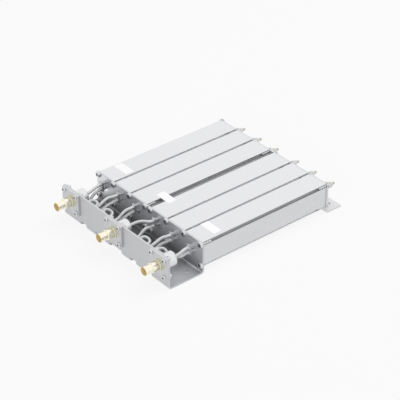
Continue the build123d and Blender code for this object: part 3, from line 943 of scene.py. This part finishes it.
class PanScrew(Hardware):
    """Pan-head screw with a cross recess and a rolled thread.

    Each share is a part of the head's height, the recess, the shank's radius or the length.
    """

    name = "pan_screw"
    sizes = {"Head Radius": 3.5, "Head Height": 2.4, "Rounding": 1.2, "Shank Radius": 1.75, "Length": 12.0,
             "Pitch": 0.8, "Recess": 3.7}
    rim_share: ClassVar[float] = 0.92
    crown_share: ClassVar[float] = 0.10
    slot_share: ClassVar[float] = 0.27
    pit_shares: ClassVar[Span] = (0.30, 0.12)
    pit_foot: ClassVar[float] = 0.32
    core_share: ClassVar[float] = 0.9
    thread_ends: ClassVar[Span] = (-0.97, -0.08)

    def shape(self, given: dict[str, Value]) -> Value:
        """A head rounded at its outer edge, a cross cut into it, and the threaded shank.

        Args:
            given: The tree's inputs by name.

        Returns:
            The screw's mesh.
        """
        graph = self.graph
        radius, height = given["Head Radius"], given["Head Height"]
        recess, length = given["Recess"], given["Length"]
        unit = graph.node("GeometryNodeMeshCylinder", {"fill_type": "TRIANGLE_FAN"}, {
            "Vertices": 36, "Side Segments": 8, "Fill Segments": 3, "Radius": 1.0, "Depth": 1.0})
        x, y, z = graph.parts(graph.node("GeometryNodeInputPosition"))
        up = (z * 2.0).least(0.0)
        taper = 1.0 - given["Rounding"] / radius * (1.0 - (1.0 - up * up).least(0.0).root())
        crown = (1.0 - (x * x + y * y)) * (z > 0.49) * height * self.crown_share
        wide = taper * radius
        moved = graph.join(x * wide, y * wide, (z + 0.5) * height * self.rim_share + crown)
        head = graph.node("GeometryNodeSetPosition", sockets={"Geometry": unit, "Position": moved})
        slot, deep = recess * self.slot_share, height * 1.1
        wide_end, narrow_end = (recess * share for share in self.pit_shares)
        pit = self.raised(self.cone(wide_end, narrow_end, height, 12), height * self.pit_foot)
        cross = [self.block(recess, slot, deep, height), self.block(slot, recess, deep, height)]
        # The cutters carry the recess's painted shade onto the faces they cut.
        cutters = [graph.node("GeometryNodeSetMaterial", sockets={
            "Geometry": cutter, "Material": given["Recess Finish"]}) for cutter in (*cross, pit)]
        core = given["Shank Radius"] * self.core_share
        shank = self.barrel(core, length * -1.0, height * 0.2, 24)
        start, end = (length * share for share in self.thread_ends)
        thread = self.thread(core, start, end, given["Pitch"])
        return graph.node("GeometryNodeJoinGeometry", sockets={0: [self.cut(head, *cutters), shank, thread]})


class HexNut(Hardware):
    """Hexagon nut, chamfered on both faces."""

    name = "hex_nut"
    sizes = {"Across Flats": 5.5, "Height": 2.4, "Bore": 3.0}
    face_share: ClassVar[float] = 0.475
    slope: ClassVar[float] = 1.8

    def shape(self, given: dict[str, Value]) -> Value:
        """A hexagon met with two shallow cones, then bored.

        Args:
            given: The tree's inputs by name.

        Returns:
            The nut's mesh.
        """
        flats, height = given["Across Flats"], given["Height"]
        blank = self.barrel(flats * (0.5 / math.cos(math.pi / 6)), 0.0, height, 6)
        face = flats * self.face_share
        foot = face + height * self.slope
        nut = self.graph.node("GeometryNodeMeshBoolean", {"operation": "INTERSECT", "solver": "EXACT"}, {
            1: [blank, self.cone(face, foot, height, 48), self.cone(foot, face, height, 48)]})
        return self.cut(nut, self.barrel(given["Bore"] * 0.5, height * -1.0, height * 2.0))


class TunerScrew(Hardware):
    """Long slotted tuning screw, threaded where it passes its bushing."""

    name = "tuner_screw"
    sizes = {"Radius": 1.5, "Length": 61.4, "Thread Length": 24.0, "Pitch": 0.5, "Slot Width": 0.6,
             "Slot Depth": 0.8, "Chamfer": 0.3}
    core_share: ClassVar[float] = 0.88
    chamfer_share: ClassVar[float] = 0.6
    overlap: ClassVar[float] = 1.01

    def shape(self, given: dict[str, Value]) -> Value:
        """A rod with its tip on the origin, a chamfer, a screwdriver slot and a fine thread.

        Args:
            given: The tree's inputs by name.

        Returns:
            The screw's mesh.
        """
        graph = self.graph
        chamfer, depth, pitch = given["Chamfer"], given["Slot Depth"], given["Pitch"]
        core = given["Radius"] * self.core_share
        rod = self.barrel(core, given["Length"] * -1.0, chamfer * -1.0)
        tip = self.cone(core - chamfer * self.chamfer_share, core, chamfer * self.overlap, 32)
        tip = self.raised(tip, chamfer * -self.overlap)
        solid = graph.node("GeometryNodeMeshBoolean", {"operation": "UNION", "solver": "EXACT"},
                           {1: [rod, tip]})
        solid = self.cut(solid, self.block(given["Radius"] * 3.0, given["Slot Width"], depth * 2.0, 0.0))
        thread = self.thread(core, given["Thread Length"] * -1.0, (depth + pitch) * -1.0, pitch, 16)
        return graph.node("GeometryNodeJoinGeometry", sockets={0: [solid, thread]})


@dataclass
class Assembly:
    """A sub-assembly, which builds its pieces and hands each to the frame."""

    frame: dict

    def node(self, name: str) -> bpy.types.Object:
        """A CAD node by name."""
        return self.frame["nodes"][name]

    def add(self, mesh: bpy.types.Mesh, name: str, finishes: Sequence[Finish], stands_for: Sequence[str] = (),
            body: str = "chassis") -> None:
        """Makes a piece of a mesh, dresses it and puts it on its body.

        Args:
            mesh: The finished mesh, in place.
            name: The piece's name.
            finishes: Its finishes, by the faces' index.
            stands_for: CAD nodes that it replaces.
            body: CAD body that it rides on.
        """
        piece = Stock.linked(name, mesh)
        names = [finish.name for finish in finishes]
        marks = [face.material_index for face in mesh.polygons]
        if mesh.materials:
            given = [names.index(material.name) if material and material.name in names else 0
                     for material in mesh.materials]
            marks = [given[mark] for mark in marks]
        mesh.materials.clear()
        for finish in finishes:
            mesh.materials.append(finish.material())
        mesh.polygons.foreach_set("material_index", marks)
        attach(piece, body)
        if stands_for:
            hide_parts(*stands_for)
        LOG.info("%s: %d faces", name, len(mesh.polygons))

    def soften(self, name: str, edge: float, finish: Finish, sharp: float = 40.0) -> None:
        """Puts a copy with broken edges in a CAD node's place.

        Args:
            name: The node's name.
            edge: The bevel in millimetres.
            finish: The copy's finish.
            sharp: Angle in degrees from which an edge gets a bevel.
        """
        self.add(Stock.softened(self.node(name), edge, sharp), f"{name}_skin", [finish], [name])

    def dress(self, names: Sequence[str], finish: Finish) -> None:
        """Gives CAD nodes that stay as they are a finish of their own.

        Args:
            names: The nodes' names.
            finish: Their finish.
        """
        for name in names:
            for slot in self.node(name).material_slots:
                slot.material = finish.material()
            LOG.info("%s: kept, %s", name, finish.name)


@dataclass
class Housing(Assembly):
    """The two bent brackets, the two extruded blocks between them and the tubes inside."""

    sheet_edge: float = 0.22
    block_edge: float = 0.28
    groove_reach: float = 2.7
    half_gap: float = 2.6
    gap_slack: float = 0.05
    square_on: float = 0.9

    def build(self) -> None:
        """Copies the brackets and the blocks, breaks their edges, and dresses everything."""
        self.soften("front_bracket", self.sheet_edge, ROLLED_SHEET)
        self.soften("rear_bracket", self.sheet_edge, REAR_SHEET)
        for name in ("cavity_block_left", "cavity_block_right"):
            mesh = Stock.softened(self.node(name), self.block_edge)
            self.mark_grooves(mesh)
            self.add(mesh, f"{name}_skin", [EXTRUDED_BAR, PORT_SHADE_BAR, GAP_LIGHT_BAR], [name])
        self.dress([f"resonator_{number}" for number in CAVITIES], SILVER_TUBE)

    def mark_grooves(self, mesh: bpy.types.Mesh) -> None:
        """Paints shade into the upper outer screw grooves and the upper one beside the gap, and light onto
        the lower outer grooves and the walls of the middle gap, as finishes of their own.

        Args:
            mesh: A block's mesh, whose faces are marked.
        """
        shade_mark, light_mark = 1, 2
        top, bottom = Fasteners.rows
        outer = [Fasteners.columns[0], Fasteners.columns[-1]]
        beside_gap = Fasteners.columns[3]
        # Painted shade: the upper outer grooves and the upper groove beside the gap.
        dull = [(x, top) for x in (*outer, beside_gap)]
        # Painted light: the lower outer grooves, and below, the walls of the middle gap.
        bright = [(x, bottom) for x in outer]
        for face in mesh.polygons:
            x, z = face.center.x / MM, face.center.z / MM
            if abs(abs(x) - self.half_gap) < self.gap_slack and abs(face.normal.x) > self.square_on:
                face.material_index = light_mark
            for mark, axes in ((shade_mark, dull), (light_mark, bright)):
                if any(math.dist((x, z), axis) < self.groove_reach for axis in axes):
                    face.material_index = mark


@dataclass
class Jack(Assembly):
    """One bayonet jack on its plate, with its insulator and socket contact."""

    side: Side
    z: float = 24.0
    face: float = -130.5
    reach: float = 17.8
    bore: float = 4.05
    tail_bore: float = 3.2
    shank: float = 7.5
    thread_start: float = 0.4
    pitch: float = 0.35
    thread_radius: float = 4.0
    thread_depth: float = 0.22
    lug_root: float = 4.35
    lug_radius: float = 1.0
    lug_span: float = 11.0
    lug_back: float = 4.7
    lug_ease: float = 0.18
    nose: float = 5.1
    pin_bore: float = 0.675
    pin_radius: float = 1.05
    tines: int = 4
    tine_gap: float = 14.0
    tine_facets: int = 7
    plate_edge: float = 0.25

    def build(self) -> None:
        """Builds the plate, the body, the insulator and the contact."""
        self.soften(f"connector_plate_{self.side}", self.plate_edge, PLATE_SHEET)
        self.body()
        self.insulator()
        self.contact()

    def centre(self, along: float = 0.0) -> Point:
        """The point on the jack's axis that far in front of its plate."""
        return self.side.value, self.face - along, self.z

    def ends(self, name: str) -> Span:
        """How far in front of the plate a CAD node's front and rear are."""
        low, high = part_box(name)
        return self.face - low.y / MM, self.face - high.y / MM

    def body(self) -> None:
        """The turned body, bored through, with a threaded shank and two bayonet lugs."""
        # Finish indices; the shaded band is painted shade on the flange's front face and in its groove.
        plated, bright, shaded_band, gilt = range(4)
        thread = [(-self.shank + self.thread_start + self.pitch * step,
                   self.thread_radius - self.thread_depth * (step % 2), plated)
                  for step in range(int((self.shank - 2 * self.thread_start) / self.pitch))]
        tail = [(-self.shank, self.tail_bore, plated), (-self.shank, 3.7, plated)]
        flange = [(0.0, self.thread_radius, plated), (0.0, 6.15, bright), (0.25, 6.4, bright),
                  (1.55, 6.4, bright), (1.8, 6.15, shaded_band)]
        groove = [(1.8, 5.15, shaded_band), (2.5, 5.15, plated)]
        collar = [(2.6, 5.5, plated), (8.35, 5.5, plated), (8.7, 5.15, plated)]
        neck = [(8.7, 4.4, plated), (9.7, 4.4, plated), (9.85, 4.6, plated), (14.1, 4.6, plated)]
        barrel = [(14.3, 4.825, plated), (17.5, 4.825, gilt)]
        mouth = [(self.reach, 4.6, gilt), (self.reach, 4.25, gilt), (17.55, self.bore, gilt)]
        seat = [(9.4, self.bore, gilt), (9.4, self.tail_bore, gilt)]
        shape = Shape()
        shape.lathe(self.centre(), (0, -1, 0),
                    [*tail, *thread, *flange, *groove, *collar, *neck, *barrel, *mouth, *seat], 72)
        end = self.lug_span / 2
        lug = [(self.lug_root, 0.0, plated), (self.lug_root, self.lug_radius, plated),
               (end - self.lug_ease, self.lug_radius, plated), (end, self.lug_radius - self.lug_ease, plated),
               (end, 0.0, plated)]
        for way in (-1, 1):
            shape.lathe(self.centre(self.reach - self.lug_back), (way, 0, 0), lug, 24, False)
        self.add(shape.mesh(f"jack_{self.side}"), f"jack_{self.side}_body",
                 [JACK_BODY, JACK_FLANGE, JACK_GROOVE, BORE_GOLD], [f"jack_{self.side}"])

    def insulator(self) -> None:
        """The stepped dielectric with a dished nose round the contact."""
        name = f"jack_insulator_{self.side}"
        front, rear = self.ends(name)
        step = front - self.nose
        shape = Shape()
        shape.lathe(self.centre(), (0, -1, 0), [
            (rear, 1.08, 0), (rear, 3.0, 0), (rear + 0.2, 3.19, 0), (step, 3.19, 0), (step, 2.4, 0),
            (front - 0.25, 2.4, 0), (front, 2.15, 0), (front, 1.45, 0), (front - 0.5, 1.08, 0)], 48)
        self.add(shape.mesh(name), f"{name}_nose", [DIELECTRIC], [name])

    def contact(self) -> None:
        """The socket contact: a solder tail, and tines round a bore."""
        name = f"jack_contact_{self.side}"
        front, rear = self.ends(name)
        inner, outer = self.pin_bore, self.pin_radius
        shape = Shape()
        shape.lathe(self.centre(), (0, -1, 0), [
            (rear, 0.0, 0), (rear, 0.85, 0), (rear + 0.25, outer, 0), (front - 4.2, outer, 0),
            (front - 4.2, inner, 0), (front - 5.0, inner, 0), (front - 5.3, 0.0, 0)], 32, False)
        section = [(front - 4.3, outer), (front - 0.2, outer), (front, 0.9), (front, 0.72),
                   (front - 0.15, inner), (front - 4.3, inner)]
        gap, quarter = math.radians(self.tine_gap), 2 * math.pi / self.tines
        for tine in range(self.tines):
            arcs = [tine * quarter + gap / 2 + (quarter - gap) * part / self.tine_facets
                    for part in range(self.tine_facets + 1)]
            self.tine(shape, section, arcs)
        self.add(shape.mesh(name), f"{name}_tines", [CONTACT_GOLD], [name])

    def tine(self, shape: Shape, section: Sequence[Span], arcs: Sequence[float]) -> None:
        """Adds one tine of the contact.

        Args:
            shape: What it is added to.
            section: (along, radius) of each corner of its section.
            arcs: Angles round the axis at which the section stands.
        """
        x, _, z = self.centre()
        grid = [[shape.bm.verts.new((x + radius * math.cos(arc), self.face - along,
                                     z + radius * math.sin(arc))) for arc in arcs]
                for along, radius in section]
        for row, corner in enumerate(grid):
            following = grid[(row + 1) % len(grid)]
            for part in range(len(arcs) - 1):
                shape.bm.faces.new([corner[part], corner[part + 1], following[part + 1], following[part]])
        for end in (0, -1):
            shape.bm.faces.new([corner[end] for corner in grid])


@dataclass
class Fasteners(Assembly):
    """Every screw and nut that holds the brackets, blocks and jacks."""

    columns: tuple[float, ...] = (-84.2, -58.2, -30.4, -4.4, 4.4, 30.4, 58.2, 84.2)
    rows: Span = (33.55, 8.95)
    jack_z: float = 24.0
    corner: float = 10.0
    end_plate: float = -85.5
    rear_plate: float = 84.5
    plate_face: float = -130.5
    wall_back: float = -126.5
    random_turn: float = 90.0
    nut_turn: float = 30.0

    SMALL_SCREW: ClassVar[dict[str, float]] = PanScrew.sizes | {
        "Head Radius": 2.8, "Head Height": 2.0, "Rounding": 1.0, "Shank Radius": 1.5, "Length": 8.0,
        "Pitch": 0.5, "Recess": 3.0}
    JACK_NUT: ClassVar[dict[str, float]] = {"Across Flats": 11.0, "Height": 2.5, "Bore": 8.0}

    def build(self) -> None:
        """Sets out the screws and the nuts."""
        screw, nut = PanScrew(), HexNut()
        grid = [(x, z) for x in self.columns for z in self.rows]
        corners = [(side.value + dx, self.jack_z + dz) for side in Side
                   for dx in (-self.corner, self.corner) for dz in (-self.corner, self.corner)]
        axes = [(side.value, self.jack_z) for side in Side]
        for name, y, spots, sizes, facing, seed in (
                ("end_plate_screws", self.end_plate, grid, PanScrew.sizes, Toward.FRONT, 3),
                ("rear_plate_screws", self.rear_plate, grid, PanScrew.sizes, Toward.REAR, 7),
                ("connector_screws", self.plate_face, corners, self.SMALL_SCREW, Toward.FRONT, 11)):
            # The screws' drive recesses get near-black painted shade.
            self.add(screw.made([(x, y, z) for x, z in spots], sizes, facing, ZINC_STEEL,
                                spread=self.random_turn, seed=seed, recess=RECESS_SHADE),
                     f"{name}_set", [ZINC_STEEL, RECESS_SHADE], [name])
        for name, spots, sizes, finish in (("connector_nuts", corners, HexNut.sizes, ZINC_STEEL),
                                           ("jack_nuts", axes, self.JACK_NUT, JACK_FLANGE)):
            self.add(nut.made([(x, self.wall_back, z) for x, z in spots], sizes, Toward.REAR, finish,
                              turn=self.nut_turn), f"{name}_set", [finish], [name])


@dataclass
class Tuners(Assembly):
    """The six tuning screws, which slide, with their fixed bushings and lock nuts."""

    columns: tuple[float, ...] = (-72.1, -44.3, -16.5, 16.5, 44.3, 72.1)
    z: float = 21.25
    tip: float = 107.9
    slot_turn: float = 23.0
    nut_seat: float = 100.5
    bushing_start: float = 84.5
    bushing_bore: float = 1.55
    bushing_radius: float = 3.0
    spigot_radius: float = 2.5
    thread_start: float = 2.0
    pitch: float = 0.4
    thread_depth: float = 0.28
    ease: float = 0.3

    LOCK_NUT: ClassVar[dict[str, float]] = {"Across Flats": 5.5, "Height": 2.4, "Bore": 3.1}

    def build(self) -> None:
        """One screw on each moving body, then the fixed nuts and bushings."""
        screw = TunerScrew()
        for number, x in zip(CAVITIES, self.columns):
            mesh = screw.made([(x, self.tip, self.z)], TunerScrew.sizes, Toward.REAR, NICKEL_ROD,
                              turn=self.slot_turn * number)
            self.add(mesh, f"tuning_rod_{number}_screw", [NICKEL_ROD], [f"tuning_rod_{number}"],
                     f"tuner_{number}")
        nuts = HexNut().made([(x, self.nut_seat, self.z) for x in self.columns], self.LOCK_NUT, Toward.REAR,
                             NICKEL_ROD, spread=60.0, seed=5)
        self.add(nuts, "tuning_lock_nuts_set", [NICKEL_ROD], ["tuning_lock_nuts"])
        self.bushings()

    def bushings(self) -> None:
        """The threaded bushings, turned with a spigot that goes into the rear plate."""
        low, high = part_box("tuning_bushings")
        start, end = low.y / MM - self.bushing_start, high.y / MM - self.bushing_start
        turns = int((end - self.thread_start - 2 * self.ease) / self.pitch)
        crest, root = self.bushing_radius, self.bushing_radius - self.thread_depth
        thread = [(self.thread_start + self.pitch * step, root if step % 2 else crest, 0)
                  for step in range(turns)]
        profile = [(start, self.bushing_bore, 0), (start, self.spigot_radius, 0),
                   (0.0, self.spigot_radius, 0), (0.0, crest, 0), *thread, (end - self.ease, crest, 0),
                   (end, crest - self.ease, 0), (end, self.bushing_bore, 0)]
        shape = Shape()
        for x in self.columns:
            shape.lathe((x, self.bushing_start, self.z), (0, 1, 0), profile, 40)
        self.add(shape.mesh("tuning_bushings"), "tuning_bushings_turned", [NICKEL_ROD], ["tuning_bushings"])


@dataclass
class Harness(Assembly):
    """The coax links, the hoods and ferrules that they enter, and the coupling inside."""

    radius: float = 1.6
    port_depth: float = -90.0
    ferrule_face: float = -92.0
    ferrule_edge: float = 0.2

    ROUTES: ClassVar[dict[str, tuple[Point, ...]]] = {
        "coax_hood1_port1": ((-73, -116.5, 24), (-73, -109.5, 24), (-72.6, -102.1, 26.2),
                             (-72.1, -95.5, 29.4), (-72.1, -88.5, 29.4)),
        "coax_port1_port2": ((-72.1, -88.5, 23.6), (-72.1, -95.5, 23.6), (-72.1, -103, 20),
                             (-71.6, -109.1, 14), (-64.6, -115.9, 14.4), (-54.6, -116.5, 18.4),
                             (-54.4, -107.7, 19.8),
                             (-62.7, -107.5, 21.2), (-62.8, -116.1, 22.8), (-45, -118.9, 22.8),
                             (-44.3, -111.3, 28.2), (-44.3, -103.4, 31.6), (-44.3, -95.5, 29.4),
                             (-44.3, -88.5, 29.4)),
        "coax_port2_port3": ((-44.3, -88.5, 23.6), (-44.3, -95.5, 23.6), (-44.3, -105.5, 22.2),
                             (-43.5, -115.7, 19), (-30.1, -115.9, 19), (-29.9, -106.9, 20.2),
                             (-38.8, -106.7, 22), (-39, -115.7, 23.6), (-17.4, -119.3, 22.2),
                             (-16.5, -111.1, 22.8), (-16.5, -104, 29), (-16.5, -95.5, 29.4),
                             (-16.5, -88.5, 29.4)),
        "coax_port3_hood2": ((-16.5, -88.5, 23.6), (-16.5, -95.5, 23.6), (-16.5, -104, 21.4),
                             (-16.3, -111.5, 18.2), (-14.8, -117.7, 17.2), (-10.2, -119.3, 18.4),
                             (-4.9, -119.4, 20.6)),
        "coax_hood2_port4": ((3.6, -118.5, 25.8), (3.8, -109.5, 26.2), (6.2, -102.8, 28), (10.8, -98, 28.8),
                             (16.5, -95.5, 29.4), (16.5, -88.5, 29.4)),
        "coax_port4_port5": ((16.5, -88.5, 23.6), (16.5, -95.5, 23.6), (16.5, -102.5, 24.8),
                             (16.7, -108.9, 19.8), (17.8, -116.1, 17.2), (32.8, -116.3, 18.4),
                             (33, -107.3, 19.6), (24.1, -107.1, 21.4), (23.9, -116.1, 23),
                             (43.4, -119.3, 22.4), (44.3, -111.1, 25.8), (44.3, -103, 28.8),
                             (44.3, -95.5, 26.8), (44.3, -88.5, 26.8)),
        "coax_port5_port6": ((44.3, -88.5, 21), (44.3, -95.5, 21), (44.3, -104.5, 21.8), (45, -114.7, 17.4),
                             (58.4, -114.9, 17.8), (58.6, -105.9, 19), (49.7, -105.7, 20.8),
                             (49.5, -114.7, 22.4), (59.4, -114.9, 22.2), (65.8, -106.9, 19.4),
                             (71.2, -102.1, 19), (72.1, -95.5, 21), (72.1, -88.5, 21)),
        "coax_port6_hood3": ((72.1, -88.5, 26.8), (72.1, -95.5, 26.8), (72.5, -102.4, 24.6), (73, -109.5, 24),
                             (73, -116.5, 24)),
    }
    HOOD_EXITS: ClassVar[tuple[tuple[Point, Point], ...]] = (
        ((-73.0, -111.7, 24.0), (0, 1, 0)), ((73.0, -111.7, 24.0), (0, 1, 0)),
        ((3.75, -111.7, 26.1), (0.03, 1, 0.05)), ((-6.9, -119.36, 19.75), (-0.92, 0.02, -0.38)))
    FILLET: ClassVar[tuple[Ring, ...]] = (
        (-0.25, 1.45, 0), (-0.25, 2.3, 0), (0.12, 2.25, 0), (0.45, 1.95, 0), (0.95, 1.74, 0), (1.7, 1.64, 0),
        (1.8, 1.45, 0))

    def build(self) -> None:
        """Lays the cables, solders them in and dresses what they enter."""
        for name, route in self.ROUTES.items():
            shape = Shape()
            shape.tube(Stock.spline(route), self.radius)
            self.add(shape.mesh(name, 60.0), f"{name}_cable", [BRAID], [name])
        self.fillets()
        # The ferrules get the darker tin, painted shade.
        for number in CAVITIES:
            self.soften(f"port_ferrule_{number}", self.ferrule_edge, SHADED_TIN, 50.0)
        self.dress([f"connector_hood_{side}" for side in Side], TINNED_CAN)
        self.dress([f"coupling_loop_{number}" for number in CAVITIES], SILVER_WIRE)
        self.dress(["feed_beads"], FLUXED_BEAD)

    def fillets(self) -> None:
        """A small cone of solder round each cable where it enters a ferrule or a hood."""
        ends = [end for route in self.ROUTES.values() for end in (route[0], route[-1])]
        ferrules = [((x, self.ferrule_face, z), (0, -1, 0)) for x, y, z in ends if y > self.port_depth]
        shape = Shape()
        for place, toward in (*ferrules, *self.HOOD_EXITS):
            shape.lathe(place, toward, self.FILLET, 24)
        self.add(shape.mesh("solder", 50.0), "solder_fillets", [SOLDER])


@dataclass
class Labels(Assembly):
    """The three bare labels."""

    def build(self) -> None:
        """Keeps the film of the CAD and gives it its finish."""
        self.dress(["labels"], LABEL_FILM)


@dataclass
class Stage:
    """Floor, world, soft boxes and the camera of the photograph.

    Under each bracket the floor glows less, between the spans where its shade begins and ends.
    """

    lens: float = 140.03
    sensor: float = 36.0
    place: Point = (1.048843, -0.88404, 0.909541)
    azimuth: float = 50.416
    elevation: float = 33.321
    ambient: float = 0.45
    glare: float = 1.08
    half_floor: float = 4000.0
    floor_drop: float = 0.02
    floor_colour: Colour = (0.64, 0.64, 0.645)
    floor_glow: float = 0.88
    under_glow: float = 0.3
    under_front: tuple[Span, Span] = ((-120.0, -116.0), (-91.0, -86.5))
    under_rear: tuple[Span, Span] = ((87.0, 90.0), (102.0, 106.0))
    under_side: Span = (82.0, 87.0)

    def build(self) -> None:
        """Makes everything that isn't the object."""
        self.camera()
        self.world()
        self.floor()
        self.box("key_box", (0.3, 0.9, 2.0), 1.6, 30.0)
        self.box("front_box", (0.9, -1.9, 0.9), 1.2, 9.0)

    def camera(self) -> None:
        """The photograph's camera, level, with its view along the fitted direction."""
        camera = bpy.data.cameras.new("view")
        camera.lens, camera.sensor_width, camera.sensor_fit = self.lens, self.sensor, "AUTO"
        camera.clip_end = 50.0
        obj = Stock.linked("view", camera)
        turn, tilt = math.radians(self.azimuth), math.radians(self.elevation)
        back = Vector((math.sin(turn) * math.cos(tilt), -math.cos(turn) * math.cos(tilt), math.sin(tilt)))
        obj.rotation_euler = back.to_track_quat("Z", "Y").to_euler()
        obj.location = self.place
        bpy.context.scene.camera = obj

    def world(self) -> None:
        """White to the camera and in metal, dimmer as light on the object."""
        world = bpy.data.worlds.new("surround")
        bpy.context.scene.world = world
        world.use_nodes = True
        graph = Graph(world.node_tree)
        strength = graph.seen().between(self.ambient, self.glare)
        light = graph.node("ShaderNodeBackground", sockets={"Color": (1, 1, 1, 1), "Strength": strength})
        graph.node("ShaderNodeOutputWorld", sockets={"Surface": light})

    def floor(self) -> None:
        """A wide plain floor under the brackets."""
        shape = Shape()
        side = self.half_floor
        shape.bm.faces.new([shape.bm.verts.new((x, y, -self.floor_drop)) for x, y in
                            ((-side, -side), (side, -side), (side, side), (-side, side))])
        mesh = shape.mesh("floor")
        mesh.materials.append(self.floor_material())
        Stock.linked("floor", mesh)

    def floor_material(self) -> bpy.types.Material:
        """Matte grey that glows to the camera, and glows less under the brackets as a painted shadow.

        Returns:
            The material.
        """
        material = bpy.data.materials.new("plain_floor")
        material.use_nodes = True
        graph = Graph(material.node_tree)
        cloud = graph.noise(graph.place(), (0.004, 0.004, 0.004), detail=2.0)
        colour = graph.blend(cloud, tuple(0.99 * channel for channel in self.floor_colour), self.floor_colour)
        matte = graph.node("ShaderNodeBsdfPrincipled", sockets={
            "Base Color": colour, "Roughness": 0.9, "Specular IOR Level": 0.1})
        white = graph.node("ShaderNodeEmission", sockets={"Color": (1, 1, 1, 1), "Strength": 1.0})
        x, y, _ = graph.parts(graph.place())
        front, rear = (graph.ramp(y, *near) * (1.0 - graph.ramp(y, *far))
                       for near, far in (self.under_front, self.under_rear))
        # Painted shadow: under each bracket the glow drops towards under_glow.
        under = (front + rear) * (1.0 - graph.ramp(x * x, *(edge ** 2 for edge in self.under_side)))
        glow = graph.seen() * self.floor_glow * under.between(1.0, self.under_glow)
        mixed = graph.node("ShaderNodeMixShader", sockets={0: glow, 1: matte, 2: white})
        graph.node("ShaderNodeOutputMaterial", sockets={"Surface": mixed})
        return material

    def box(self, name: str, place: Point, size: float, watts: float) -> None:
        """A square soft box that looks at the object.

        Args:
            name: The lamp's name.
            place: Where it hangs, in metres.
            size: Its side, in metres.
            watts: Its power.
        """
        light = bpy.data.lights.new(name, "AREA")
        light.size, light.energy = size, watts
        lamp = Stock.linked(name, light)
        lamp.location = place
        lamp.visible_glossy = False
        lamp.rotation_euler = Vector(place).to_track_quat("Z", "Y").to_euler()


def main() -> None:
    """Loads the frame, sets the stage and builds every sub-assembly on it."""
    logging.basicConfig(level=logging.INFO, format="%(levelname)s %(message)s")
    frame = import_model()
    bpy.context.scene.view_settings.view_transform = "Standard"
    Stage().build()
    Housing(frame).build()
    for side in Side:
        Jack(frame, side).build()
    Fasteners(frame).build()
    Tuners(frame).build()
    Harness(frame).build()
    Labels(frame).build()
    LOG.info("boxes written")


if __name__ == "__main__":
    main()
